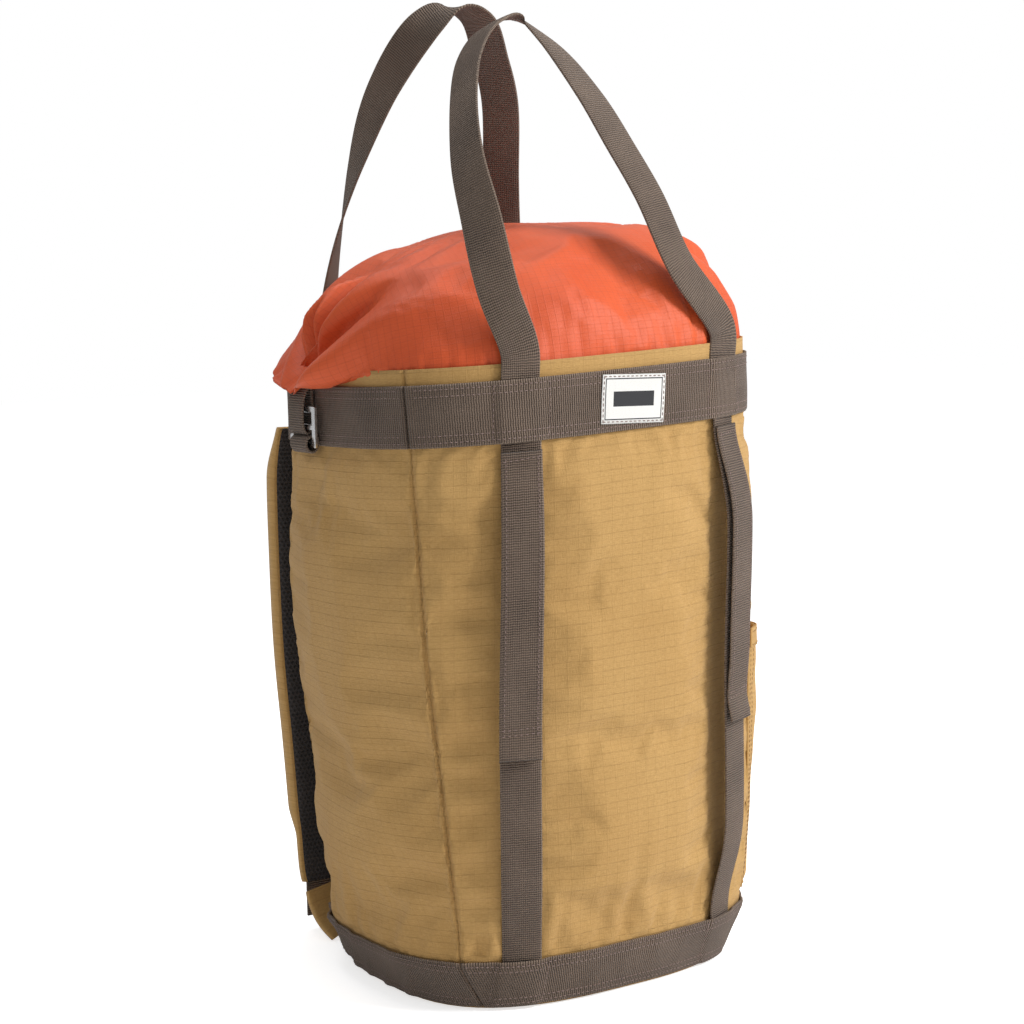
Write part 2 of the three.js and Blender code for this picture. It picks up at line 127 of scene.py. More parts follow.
def swell(z, around, length):
    # The slow sag of the whole wall, fuller at the sides than at the padded back
    low = math.exp(-((z - 0.115) / 0.075) ** 2)
    high = math.exp(-((z - 0.255) / 0.085) ** 2)
    fade = float(smooth(z, 0.034, 0.08)) * (1 - float(smooth(z, 0.325, beltForm["foot"])))
    face = np.cos(4 * math.pi * around / length)
    back = smooth(np.abs(np.mod(around + length / 2, length) - length / 2), 0.40 * length, 0.46 * length)
    return fade * (0.0035 * low * (0.7 + 0.3 * face) + 0.0044 * high * (0.8 - 0.2 * face) * (1 - 0.7 * back))


def settle(points, tilt=1.0):
    # The filled bag leans a little and its mouth isn't quite level
    points = np.array(points, float)
    z = points[..., 2]
    share = smooth(z, 0.0, 0.40) * (1 - smooth(z, 0.43, 0.60))
    x, y = points[..., 0].copy(), points[..., 1] - bodyForm["middle"]
    points[..., 0] += leanForm["side"] * share + leanForm["sideMiddle"] * np.exp(-((z - 0.19)
            / 0.10) ** 2) * smooth(z, 0.0, 0.06)
    points[..., 1] += leanForm["back"] * share
    points[..., 2] += share * (leanForm["tiltX"] * x + leanForm["tiltY"] * y) * tilt
    return points


def waves(seed, a, b, count, lengths, lean=0.0):
    # Seeded smooth noise over two coordinates, about -1 to 1
    draw = np.random.RandomState(seed)
    total = np.zeros(np.broadcast(a, b).shape)
    for _ in range(count):
        turn = draw.uniform(-lean, lean) if lean else draw.uniform(0, math.pi)
        size = draw.uniform(*lengths)
        phase = draw.uniform(0, 2 * math.pi)
        total += np.sin(2 * math.pi * (a * math.cos(turn) + b * math.sin(turn)) / size + phase)
    return total / math.sqrt(count)


def makeMesh(name, points, faces, uv=None, edge=None, loopUv=None, smoothShade=True, lean=1.0):
    mesh = bpy.data.meshes.new(name)
    points = np.asarray(points, float) if lean is None else settle(points, lean)
    mesh.from_pydata([tuple(p) for p in points], [], [tuple(f) for f in faces])
    mesh.update()
    layer = mesh.uv_layers.new(name="cut")
    corners = np.zeros(len(mesh.loops), np.int32)
    mesh.loops.foreach_get("vertex_index", corners)
    if loopUv is None:
        loopUv = np.asarray(uv, float)[corners] if uv is not None else np.zeros((len(corners), 2))
    layer.data.foreach_set("uv", np.asarray(loopUv, np.float32).ravel())
    if edge is not None:
        wear = mesh.attributes.new("edge", "FLOAT", "POINT")
        wear.data.foreach_set("value", np.asarray(edge, np.float32))
    if smoothShade:
        mesh.polygons.foreach_set("use_smooth", np.ones(len(mesh.polygons), bool))
    piece = bpy.data.objects.new(name, mesh)
    bpy.context.scene.collection.objects.link(piece)
    return piece


def gridFaces(rows, columns, closed):
    # Quads of a grid of rows by columns; closed joins the last column to the first
    i, j = np.meshgrid(np.arange(rows - 1), np.arange(columns if closed else columns - 1), indexing="ij")
    right = (j + 1) % columns
    return np.stack([i * columns + j, i * columns + right, (i + 1) * columns + right, (i + 1) * columns + j],
                    -1).reshape(-1, 4)


def bandProfile(width, thickness, columns):
    # Section of a strip of webbing: across and out, once round, with softly rounded edges
    half, r = width / 2, thickness / 2
    s = np.linspace(-half + r, half - r, columns + 1)
    top = [(v, thickness) for v in s[::-1]]
    bottom = [(v, 0.0) for v in s]
    turn = [(math.sin(t) * r, r - math.cos(t) * r) for t in (math.pi / 4, math.pi / 2, 3 * math.pi / 4)]
    right = [(half - r + a, b) for a, b in turn]
    left = [(-(half - r) - a, b) for a, b in turn[::-1]]
    return np.array(bottom + right + top + left)


def sweepBand(name, rows, along, profile, place, closed=False, lean=1.0):
    # place(row, across, out) gives points; along is each row's distance for the weave
    width = profile[:, 0].max() - profile[:, 0].min()
    points = np.array([place(i, profile[:, 0], profile[:, 1]) for i in range(rows)])
    count = len(profile)
    faces = [list(f) for f in gridFaces(rows, count, True)]
    if closed:
        last = (rows - 1) * count
        faces += [[last + j, last + (j + 1) % count, (j + 1) % count, j] for j in range(count)]
    else:
        faces.append(list(range(count))[::-1])
        faces.append([(rows - 1) * count + j for j in range(count)])
    uv = np.stack(np.broadcast_arrays(profile[None, :, 0], np.asarray(along, float)[:, None]), -1).reshape(-1, 2)
    edge = np.tile(np.abs(profile[:, 0]) / (width / 2), rows)
    piece = makeMesh(name, points.reshape(-1, 3), faces, uv=uv, edge=edge, lean=lean)
    faceOutward(piece)
    return piece


def faceOutward(piece):
    form = bmesh.new()
    form.from_mesh(piece.data)
    bmesh.ops.recalc_face_normals(form, faces=form.faces)
    form.to_mesh(piece.data)
    form.free()


def centripetal(points, count):
    # A smooth curve through the points, evenly stepped along its length
    points = np.asarray(points, float)
    first, last = 2 * points[0] - points[1], 2 * points[-1] - points[-2]
    ext = np.vstack([first, points, last])
    fine = []
    for i in range(1, len(ext) - 2):
        p0, p1, p2, p3 = ext[i - 1:i + 3]
        t0 = 0.0
        t1 = t0 + max(np.linalg.norm(p1 - p0), 1e-9) ** 0.5
        t2 = t1 + max(np.linalg.norm(p2 - p1), 1e-9) ** 0.5
        t3 = t2 + max(np.linalg.norm(p3 - p2), 1e-9) ** 0.5
        t = np.linspace(t1, t2, 40, endpoint=False)[:, None]
        a1 = (t1 - t) / (t1 - t0) * p0 + (t - t0) / (t1 - t0) * p1
        a2 = (t2 - t) / (t2 - t1) * p1 + (t - t1) / (t2 - t1) * p2
        a3 = (t3 - t) / (t3 - t2) * p2 + (t - t2) / (t3 - t2) * p3
        b1 = (t2 - t) / (t2 - t0) * a1 + (t - t0) / (t2 - t0) * a2
        b2 = (t3 - t) / (t3 - t1) * a2 + (t - t1) / (t3 - t1) * a3
        fine.append((t2 - t) / (t2 - t1) * b1 + (t - t1) / (t2 - t1) * b2)
    fine = np.vstack(fine + [points[-1:]])
    return evenSteps(fine, count)


def evenSteps(fine, count):
    run = np.concatenate([[0], np.cumsum(np.linalg.norm(np.diff(fine, axis=0), axis=1))])
    place = np.linspace(0, run[-1], count)
    return np.stack([np.interp(place, run, fine[:, k]) for k in range(3)], -1)


def lengths(points):
    return np.concatenate([[0], np.cumsum(np.linalg.norm(np.diff(points, axis=0), axis=1))])


def newMaterial(name, **values):
    material = bpy.data.materials.new(name)
    material.use_nodes = True
    shader = material.node_tree.nodes["Principled BSDF"]
    for key, value in values.items():
        shader.inputs[key].default_value = value
    return material, material.node_tree, shader


def addNode(net, kind, settings=None, **feeds):
    # feeds are input names with _ for a space, given a value or another node's output
    made = net.nodes.new("ShaderNode" + kind)
    for key, value in (settings or {}).items():
        setattr(made, key, value)
    for key, value in feeds.items():
        numbered = key[0] == "n" and key[1:].isdigit()
        socket = made.inputs[int(key[1:]) if numbered else key.replace("_", " ")]
        if hasattr(value, "is_linked"):
            net.links.new(value, socket)
        else:
            socket.default_value = value
    return made


def maths(net, operation, a, b=0.0, c=0.0):
    return addNode(net, "Math", {"operation": operation}, n0=a, n1=b, n2=c).outputs[0]


def colourMix(net, share, a, b, blend="MIX"):
    made = net.nodes.new("ShaderNodeMix")
    made.data_type, made.blend_type = "RGBA", blend
    for socket, value in ((made.inputs[0], share), (made.inputs[6], a), (made.inputs[7], b)):
        if hasattr(value, "is_linked"):
            net.links.new(value, socket)
        else:
            socket.default_value = value if not isinstance(value, tuple) else (*value, 1.0)[:4]
    return made.outputs[2]


def ramp(net, value, stops):
    made = net.nodes.new("ShaderNodeMapRange")
    made.clamp = True
    net.links.new(value, made.inputs[0])
    for socket, number in zip(made.inputs[1:5], stops):
        socket.default_value = number
    return made.outputs[0]


def lines(net, coordinate, pitch, width):
    # 1 on thin lines that repeat every pitch, 0 between them
    turn = maths(net, "MULTIPLY", coordinate, 2 * math.pi / pitch)
    wave = maths(net, "COSINE", turn)
    edge = math.cos(math.pi * width / pitch)
    return ramp(net, wave, (edge - (1 - edge) * 0.8, 1.0, 0.0, 1.0))


def coordinates(net, source="UV"):
    made = net.nodes.new("ShaderNodeTexCoord")
    split = net.nodes.new("ShaderNodeSeparateXYZ")
    net.links.new(made.outputs[source], split.inputs[0])
    return made.outputs[source], split.outputs


def noise(net, vector, scale, detail=2.0, roughness=0.5):
    return addNode(net, "TexNoise", None, Vector=vector, Scale=scale, Detail=detail, Roughness=roughness).outputs[0]


def drawnNoise(net, vector, scale, detail):
    # Noise drawn out along an axis, as in threads and scratches
    drawn = addNode(net, "Mapping", None, Vector=vector, Scale=scale).outputs[0]
    return noise(net, drawn, 1.0, detail)


def bump(net, height, distance, strength=1.0, under=None):
    made = addNode(net, "Bump", None, Height=height, Distance=distance, Strength=strength)
    if under is not None:
        net.links.new(under, made.inputs["Normal"])
    return made.outputs[0]


def makeRipstop(name, look):
    # Plain-woven cloth with thicker threads in a grid, on the cloth's own flat coordinates
    material, net, shader = newMaterial(name, **look["shader"])
    uv, (u, v, _) = coordinates(net)
    where, _ = coordinates(net, "Object")
    wobble = maths(net, "MULTIPLY", noise(net, uv, 60, 1), look["pitch"] * 0.08)
    across = lines(net, maths(net, "ADD", v, wobble), look["pitch"], look["threadWidth"])
    half = lines(net, maths(net, "ADD", v, look["pitch"] / 2), look["pitch"], look["threadWidth"])
    upward = lines(net, u, look["pitch"], look["threadWidth"])
    dashes = ramp(net, drawnNoise(net, uv, (130, 900, 1), 1), (0.30, 0.70, 0.45, 1.0))
    grid = maths(net, "ADD", maths(net, "MULTIPLY", across, dashes), maths(net, "MULTIPLY", half, 0.35))
    grid = maths(net, "MULTIPLY_ADD", upward, look["upright"], grid)
    weave = maths(net, "MULTIPLY",
                  maths(net, "SINE", maths(net, "MULTIPLY", u, 2 * math.pi / look["thread"])),
                  maths(net, "SINE", maths(net, "MULTIPLY", v, 2 * math.pi / look["thread"])))
    slub = drawnNoise(net, uv, (1800, 240, 1), 2)
    fine = drawnNoise(net, uv, (300, 2200, 1), 2)
    patches = noise(net, where, 11, 4, 0.6)
    tone = colourMix(net, ramp(net, patches, (0.3, 0.7, 0.0, 1.0)), look["deep"], look["pale"])
    tone = colourMix(net, ramp(net, slub, (0.3, 0.75, 0.0, look["slub"])), tone, look["thick"])
    tone = colourMix(net, ramp(net, fine, (0.35, 0.75, 0.0, look["slub"])), tone, look["dark"])
    tone = colourMix(net, maths(net, "MULTIPLY", grid, look["gridTone"]), tone, look["dark"])
    net.links.new(tone, shader.inputs["Base Color"])
    rough = maths(net, "MULTIPLY_ADD", slub, 0.15, look["rough"])
    net.links.new(rough, shader.inputs["Roughness"])
    first = bump(net, maths(net, "ADD", maths(net, "MULTIPLY", weave, 0.25), slub), look["weaveDepth"])
    net.links.new(bump(net, grid, look["gridDepth"], 0.7, first), shader.inputs["Normal"])
    return material


def makeWebbing(name, look):
    # Flat webbing: ribs across its length, a finer twill in them, the grooves between ribs painted near black as
    # painted shade and the crests left lighter as a painted highlight, paler at its rubbed edges
    material, net, shader = newMaterial(name, **look["shader"])
    uv, (u, v, _) = coordinates(net)
    where, _ = coordinates(net, "Object")
    skew = maths(net, "MULTIPLY_ADD", maths(net, "PINGPONG", u, look["twill"]), look["skew"], v)
    ribs = maths(net, "COSINE", maths(net, "MULTIPLY", skew, 2 * math.pi / look["rib"]))
    cords = maths(net, "COSINE", maths(net, "MULTIPLY", u, 2 * math.pi / look["cord"]))
    reliefAndShade = maths(net, "MULTIPLY_ADD", cords, 0.35, ribs)
    grain = drawnNoise(net, uv, (1400, 500, 1), 3)
    patches = noise(net, where, 25, 4, 0.6)
    # Painted shade and highlight: the rib grooves take the near-black dark colour, the rib crests the lighter middle
    # colour
    tone = colourMix(net, ramp(net, reliefAndShade, (-1.0, 0.9, 0.0, 1.0)), look["dark"], look["middle"])
    tone = colourMix(net, ramp(net, patches, (0.35, 0.75, 0.0, 0.45)), tone, look["pale"])
    tone = colourMix(net, ramp(net, grain, (0.45, 0.8, 0.0, 0.35)), tone, look["pale"])
    edge = net.nodes.new("ShaderNodeAttribute")
    edge.attribute_name = "edge"
    worn = maths(net, "MULTIPLY", ramp(net, edge.outputs["Fac"], (0.9, 1.0, 0.0, 1.0)),
                 ramp(net, grain, (0.3, 0.7, 0.1, 0.7)))
    tone = colourMix(net, worn, tone, look["worn"])
    net.links.new(tone, shader.inputs["Base Color"])
    net.links.new(maths(net, "MULTIPLY_ADD", grain, 0.2, look["rough"]), shader.inputs["Roughness"])
    first = bump(net, reliefAndShade, look["ribDepth"], 0.9)
    net.links.new(bump(net, grain, 0.0001, 0.6, first), shader.inputs["Normal"])
    return material


def makeSpacerMesh(name, look):
    # Knitted spacer mesh: rows of small round holes, painted near black inside as painted shade
    material, net, shader = newMaterial(name, **look["shader"])
    uv, (u, v, _) = coordinates(net)
    row = maths(net, "FLOOR", maths(net, "DIVIDE", v, look["pitch"]))
    shift = maths(net, "MULTIPLY", maths(net, "MODULO", row, 2.0), look["pitch"] / 2)
    a = maths(net, "COSINE", maths(net, "MULTIPLY", maths(net, "ADD", u, shift), 2 * math.pi / look["pitch"]))
    b = maths(net, "COSINE", maths(net, "MULTIPLY", v, 2 * math.pi / look["pitch"]))
    knit = ramp(net, maths(net, "ADD", a, b), (-1.2, 0.6, 0.0, 1.0))
    yarn = drawnNoise(net, uv, (1500, 1500, 1), 2)
    patches = noise(net, uv, 40, 3)
    # Painted shade: the knit's hollows take the near-black hole colour
    tone = colourMix(net, knit, look["hole"], look["yarn"])
    tone = colourMix(net, ramp(net, yarn, (0.4, 0.8, 0.0, 0.5)), tone, look["pale"])
    tone = colourMix(net, ramp(net, patches, (0.45, 0.75, 0.0, 0.3)), tone, look["pale"])
    net.links.new(tone, shader.inputs["Base Color"])
    net.links.new(maths(net, "MULTIPLY_ADD", yarn, 0.2, look["rough"]), shader.inputs["Roughness"])
    net.links.new(bump(net, maths(net, "MULTIPLY_ADD", yarn, 0.3, knit), look["depth"], 0.9),
                  shader.inputs["Normal"])
    return material


def makeThread(name, look):
    material, net, shader = newMaterial(name, **look["shader"])
    where, _ = coordinates(net, "Object")
    twistAndShade = addNode(net, "TexWave", {"bands_direction": "DIAGONAL"}, Vector=where, Scale=900.0,
                    Distortion=1.0).outputs[1]
    # Painted shade and highlight: the twist's grooves take the dark colour and its strands the pale one, following
    # its bump
    tone = colourMix(net, twistAndShade, look["dark"], look["pale"])
    net.links.new(colourMix(net, ramp(net, noise(net, where, 90), (0.4, 0.7, 0.0, 0.5)), tone, look["dark"]),
                  shader.inputs["Base Color"])
    net.links.new(bump(net, twistAndShade, 0.0001), shader.inputs["Normal"])
    return material


def makeMetal(name, look):
    # Polished aluminium with fine rolled scratches and duller rubbed patches
    material, net, shader = newMaterial(name, **look["shader"])
    where, _ = coordinates(net, "Object")
    scratch = drawnNoise(net, where, (3000, 3000, 160), 2)
    patches = noise(net, where, 160, 3)
    net.links.new(ramp(net, patches, (0.35, 0.7, look["rough"], look["rough"] + 0.18)), shader.inputs["Roughness"])
    net.links.new(colourMix(net, ramp(net, scratch, (0.4, 0.8, 0.0, 0.5)), look["pale"], look["dark"]),
                  shader.inputs["Base Color"])
    net.links.new(bump(net, scratch, 0.00005, 0.5), shader.inputs["Normal"])
    return material


def makeGrained(name, look):
    # Moulded plastic, foam and board: a fine grain with slow patches
    material, net, shader = newMaterial(name, **look["shader"])
    where, _ = coordinates(net, "Object")
    grain = noise(net, where, look["grain"], 3)
    patches = noise(net, where, 30, 3)
    tone = colourMix(net, ramp(net, patches, (0.35, 0.7, 0.0, 1.0)), look["dark"], look["pale"])
    net.links.new(colourMix(net, ramp(net, grain, (0.5, 0.8, 0.0, 0.4)), tone, look["pale"]),
                  shader.inputs["Base Color"])
    net.links.new(maths(net, "MULTIPLY_ADD", grain, 0.2, look["rough"]), shader.inputs["Roughness"])
    net.links.new(bump(net, grain, look["depth"], 0.6), shader.inputs["Normal"])
    return material


def makeLabelCloth(name, look):
    # Woven label: white ground with a dark border and a plain dark bar
    material, net, shader = newMaterial(name, **look["shader"])
    uv, (u, v, _) = coordinates(net)

    def box(halfWidth, halfHeight):
        inX = maths(net, "LESS_THAN", maths(net, "ABSOLUTE", u), halfWidth)
        inY = maths(net, "LESS_THAN", maths(net, "ABSOLUTE", v), halfHeight)
        return maths(net, "MULTIPLY", inX, inY)

    border = maths(net, "SUBTRACT", box(0.0212, 0.0127), box(0.0205, 0.0120))
    ink = maths(net, "MAXIMUM", border, box(0.0150, 0.0046))
    ribs = maths(net, "COSINE", maths(net, "MULTIPLY", v, 2 * math.pi / look["rib"]))
    grain = drawnNoise(net, uv, (900, 2400, 1), 2)
    ground = colourMix(net, ramp(net, grain, (0.4, 0.8, 0.0, 0.5)), look["white"], look["shade"])
    net.links.new(colourMix(net, ink, ground, look["ink"]), shader.inputs["Base Color"])
    net.links.new(maths(net, "MULTIPLY_ADD", grain, 0.2, look["rough"]), shader.inputs["Roughness"])
    net.links.new(bump(net, maths(net, "ADD", ribs, grain), 0.00008, 0.7), shader.inputs["Normal"])
    return material


finishes = {
    "bodyCloth": makeRipstop("bodyCloth", {
        "shader": {"Roughness": 0.85, "Sheen Weight": 0.10, "Sheen Roughness": 0.5, "Specular IOR Level": 0.15},
        "deep": (0.48, 0.280, 0.094), "pale": (0.57, 0.348, 0.127), "thick": (0.67, 0.43, 0.18),
        "dark": (0.25, 0.130, 0.035),
        "pitch": 0.0076, "threadWidth": 0.0007, "thread": 0.0007, "upright": 0.3, "slub": 0.32,
        "gridTone": 0.24, "rough": 0.72, "weaveDepth": 0.00022, "gridDepth": 0.0003}),
    "collarCloth": makeRipstop("collarCloth", {
        "shader": {"Roughness": 0.5, "Sheen Weight": 0.05, "Sheen Roughness": 0.35, "Specular IOR Level": 0.32},
        "deep": (0.62, 0.084, 0.022), "pale": (0.72, 0.112, 0.029), "thick": (0.80, 0.18, 0.056),
        "dark": (0.34, 0.042, 0.010),
        "pitch": 0.005, "threadWidth": 0.0006, "thread": 0.0004, "upright": 0.8, "slub": 0.10,
        "gridTone": 0.22, "rough": 0.38, "weaveDepth": 0.00006, "gridDepth": 0.00012}),
    "webbing": makeWebbing("webbing", {
        "shader": {"Roughness": 0.75, "Sheen Weight": 0.12, "Specular IOR Level": 0.3},
        # dark is the painted shade in the rib grooves; middle gives the lighter crests their painted highlight
        "dark": (0.030, 0.019, 0.013), "middle": (0.212, 0.144, 0.101), "pale": (0.275, 0.195, 0.142),
        "worn": (0.33, 0.245, 0.185),
        "rib": 0.0015, "cord": 0.0013, "twill": 0.0026, "skew": 0.10, "rough": 0.6, "ribDepth": 0.0006}),
    "spacerMesh": makeSpacerMesh("spacerMesh", {
        "shader": {"Roughness": 0.9, "Sheen Weight": 0.1},
        # The hole colour is painted shade inside the holes
        "hole": (0.006, 0.005, 0.005), "yarn": (0.035, 0.030, 0.030), "pale": (0.07, 0.06, 0.06),
        "pitch": 0.0030, "rough": 0.75, "depth": 0.0009}),
    # Each thread's dark colour is painted shade in the twist's grooves and also its darker patches
    "thread": makeThread("thread", {
        "shader": {"Roughness": 0.6}, "dark": (0.20, 0.135, 0.115), "pale": (0.36, 0.26, 0.235)}),
    "darkThread": makeThread("darkThread", {
        "shader": {"Roughness": 0.6}, "dark": (0.22, 0.115, 0.04), "pale": (0.40, 0.23, 0.085)}),
    "metal": makeMetal("metal", {
        "shader": {"Metallic": 1.0}, "rough": 0.12, "pale": (0.94, 0.94, 0.95), "dark": (0.74, 0.74, 0.76)}),
    "plastic": makeGrained("plastic", {
        "shader": {"Specular IOR Level": 0.5}, "grain": 900.0, "depth": 0.00008, "rough": 0.35,
        "dark": (0.012, 0.011, 0.011), "pale": (0.03, 0.028, 0.028)}),
    "foam": makeGrained("foam", {
        "shader": {"Specular IOR Level": 0.2}, "grain": 700.0, "depth": 0.0003, "rough": 0.75,
        "dark": (0.22, 0.22, 0.21), "pale": (0.32, 0.32, 0.30)}),
    "label": makeLabelCloth("label", {
        "shader": {"Roughness": 0.7}, "rib": 0.0006, "rough": 0.6,
        "white": (0.82, 0.81, 0.78), "shade": (0.62, 0.61, 0.58), "ink": (0.018, 0.018, 0.022)}),
}


def finish(piece, look):
    piece.data.materials.clear()
    piece.data.materials.append(finishes[look])
    return piece


def fit(piece, look, slot, body, *nodes):
    # Finish a piece, let it move with a body, and hide the CAD nodes it stands for
    finish(piece, look)
    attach(piece, body)
    if nodes:
        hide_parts(*nodes)
    return piece


print("materials made")


view = {"turn": -33.1, "rise": 6.74, "roll": -1.28, "lens": 76.02,
        "place": (-0.7864, -1.1864 + bodyForm["middle"], 0.4667)}
light = {
    "key": {"place": (1.30, -1.62, 1.55), "size": 0.9, "power": 52.0},
    "fill": {"place": (-2.1, -1.0, 0.9), "size": 2.2, "power": 0.8},
    "top": {"place": (0.10, 0.30, 2.0), "size": 1.4, "power": 17.0},
    "sky": 0.38, "backdrop": 1.0, "floorGlow": (0.10, 0.66),
}


def makeCamera():
    turn, rise, roll = (math.radians(view[key]) for key in ("turn", "rise", "roll"))
    back = Vector((math.sin(turn) * math.cos(rise), -math.cos(turn) * math.cos(rise), math.sin(rise)))
    right = Vector((math.cos(turn), math.sin(turn), 0))
    up = back.cross(right)
    rolledRight = right * math.cos(roll) + up * math.sin(roll)
    rolledUp = up * math.cos(roll) - right * math.sin(roll)
    data = bpy.data.cameras.new("camera")
    data.lens, data.sensor_width = view["lens"], 36.0
    data.clip_start, data.clip_end = 0.05, 20
    camera = bpy.data.objects.new("camera", data)
    bpy.context.scene.collection.objects.link(camera)
    matrix = camera.matrix_world
    for row in range(3):
        matrix[row][0], matrix[row][1], matrix[row][2] = rolledRight[row], rolledUp[row], back[row]
        matrix[row][3] = view["place"][row]
    camera.matrix_world = matrix
    bpy.context.scene.camera = camera


def makeLights():
    aim = Vector((0, 0, 0.28))
    for name in ("key", "fill", "top"):
        data = bpy.data.lights.new(name, "AREA")
        data.size, data.energy = light[name]["size"], light[name]["power"]
        lamp = bpy.data.objects.new(name, data)
        lamp.location = light[name]["place"]
        lamp.rotation_euler = (aim - lamp.location).to_track_quat("-Z", "Y").to_euler()
        bpy.context.scene.collection.objects.link(lamp)
    world = bpy.data.worlds.new("studio")
    bpy.context.scene.world = world
    world.use_nodes = True
    net = world.node_tree
    background = net.nodes["Background"]
    background.inputs[0].default_value = (1, 1, 1, 1)
    background.inputs[1].default_value = light["sky"]
    # The backdrop reads white while the cloth is lit by a softer sky
    seen = net.nodes.new("ShaderNodeLightPath")
    net.links.new(maths(net, "MULTIPLY_ADD", seen.outputs["Is Camera Ray"], light["backdrop"] - light["sky"],
                        light["sky"]), background.inputs[1])


def makeFloor():
    mesh = bpy.data.meshes.new("floor")
    half = 6.0
    mesh.from_pydata([(-half, -half, -0.0006), (half, -half, -0.0006), (half, half, -0.0006),
                      (-half, half, -0.0006)], [], [(0, 1, 2, 3)])
    floor = bpy.data.objects.new("floor", mesh)
    bpy.context.scene.collection.objects.link(floor)
    material, net, shader = newMaterial("paleFloor", Roughness=0.7)
    shader.inputs["Emission Color"].default_value = (1, 1, 1, 1)
    seen = net.nodes.new("ShaderNodeLightPath")
    low, high = light["floorGlow"]
    net.links.new(maths(net, "MULTIPLY_ADD", seen.outputs["Is Camera Ray"], high - low, low),
                  shader.inputs["Emission Strength"])
    where, _ = coordinates(net, "Object")
    net.links.new(colourMix(net, noise(net, where, 3), (0.86, 0.86, 0.86), (0.89, 0.89, 0.89)),
                  shader.inputs["Base Color"])
    mesh.materials.append(material)


makeCamera()
makeLights()
makeFloor()
bpy.context.scene.view_settings.view_transform = "Standard"
print("camera, light and floor made")


shellForm = {
    "foot": 0.0027, "columnStep": 0.0029, "rows": 124, "thickness": 0.0011,
    "seamGroove": 0.0012, "seamRidge": 0.0008, "foldDepth": 0.0015, "gatherDepth": 0.0016, "strapDip": 0.0042,
}
seamSteps = np.array([0.0, 0.0008, 0.0016, 0.0026, 0.0040, 0.0060])


def faceShares(width):
    count = int(round((width - 2 * seamSteps[-1]) / shellForm["columnStep"]))
    inner = np.linspace(seamSteps[-1], width - seamSteps[-1], count + 1)
    places = np.concatenate([seamSteps[:-1], inner, width - seamSteps[:-1][::-1]])
    return places / width


def faceSpans(z):
    # Start and width of each face round the body: front, right, back, left
    seam, length = sizeAt(z)[2], roundAt(z)
    side = length / 2 - 2 * seam
    return [(-seam, 2 * seam), (seam, side), (length / 2 - seam, 2 * seam), (length / 2 + seam, side)]


shares = [faceShares(width) for _, width in faceSpans(0.22)]


def columnsAt(z):
    # Each column's place round the body, its face and its distance from the nearest seam
    around, seamDistance = [], []
    for (start, width), share in zip(faceSpans(z), shares):
        place = share[:-1] * width
        around.append(start + place)
        seamDistance.append(np.minimum(place, width - place))
    return np.concatenate(around), np.concatenate(seamDistance)


def strapCentre(face, side, z):
    # Place round the body of a strap's middle; the front pair slants a little to the right
    if face == "front":
        return side * strapForm["centre"] + strapForm["frontShift"] * float(smooth(z, 0.05, 0.39))
    return roundAt(z) / 2 + side * strapForm["centre"]


def strapDistance(z, around):
    # Distance round the body from the centre of the nearest strap, front and rear
    length = roundAt(z)
    centres = [strapCentre(face, side, z) for face in ("front", "back") for side in (-1, 1)]
    gaps = [np.abs(np.mod(around - c + length / 2, length) - length / 2) for c in centres]
    return np.min(gaps, axis=0)


def wallNormals(z, around):
    outward = wall(z, around, 0.001) - wall(z, around, 0.0)
    return outward / np.linalg.norm(outward, axis=-1, keepdims=True)


def pocketCover(z, around):
    # 1 where the side pocket lies over the wall
    start, width = faceSpans(z)[1]
    gap = np.abs(around - start - width / 2) - (width / 2 - 0.012)
    return (1 - smooth(gap, 0.003, 0.014)) * (1 - float(smooth(z, 0.205, 0.225)))


def wrinkles(z, around, seamGap):
    # Creases the filled cloth shows between its belts, straps and seams
    length = roundAt(z)
    strapGap = strapDistance(z, around)
    exposed = smooth(strapGap, 0.010, 0.030) * float(smooth(z, beltForm["baseTop"], 0.055)
            * (1 - smooth(z, 0.335, beltForm["foot"])))
    signed = np.mod(around + length / 2, length) - length / 2
    zs = np.full_like(around, z)
    creases = waves(3, zs, signed, 7, (0.020, 0.046), lean=0.32)
    nearSeam = np.exp(-(seamGap / 0.045) ** 2) * (0.12 + 0.88 * smooth(seamGap, 0.002, 0.016))
    low = math.exp(-((z - 0.13) / 0.11) ** 2)
    seam = sizeAt(z)[2]
    flank = smooth(np.abs(signed), seam,
                   seam + 0.008) * (1 - smooth(np.abs(signed), length / 2 - seam - 0.008, length / 2 - seam))
    depth = shellForm["foldDepth"] * exposed * nearSeam * (0.25 + low) * np.clip(creases, -1.1,
            1.6) * (1 - 0.72 * flank)
    gathers = waves(5, signed, zs, 8, (0.014, 0.036), lean=0.30)
    fromBase, fromMouth = max(z - beltForm["baseTop"], 0), max(beltForm["foot"] - z, 0)
    near = math.exp(-fromBase / 0.030) + 0.7 * math.exp(-fromMouth / 0.022)
    clear = smooth(strapGap, 0.012, 0.022)
    depth += shellForm["gatherDepth"] * near * clear * gathers * (1 - 0.4
            * flank) * float(smooth(fromBase, 0, 0.006) * smooth(fromMouth, 0, 0.006))
    broad = waves(8, signed, zs, 6, (0.07, 0.17))
    depth += 0.0011 * broad * exposed
    depth *= 1 - 0.9 * pocketCover(z, around)
    # The front straps are drawn tight, so the wall dips beside them
    dip = np.exp(-(strapGap / 0.017) ** 2) * (np.abs(signed) < length / 4)
    depth -= shellForm["strapDip"] * dip * float(smooth(z, 0.05, 0.11) * (1 - smooth(z, 0.28, 0.34)))
    groove = -shellForm["seamGroove"] * np.exp(-(seamGap / 0.0011) ** 2)
    ridge = shellForm["seamRidge"] * np.exp(-((seamGap - 0.0027) / 0.0018) ** 2)
    return depth + (groove + ridge) * float(smooth(z, 0.02, 0.04))


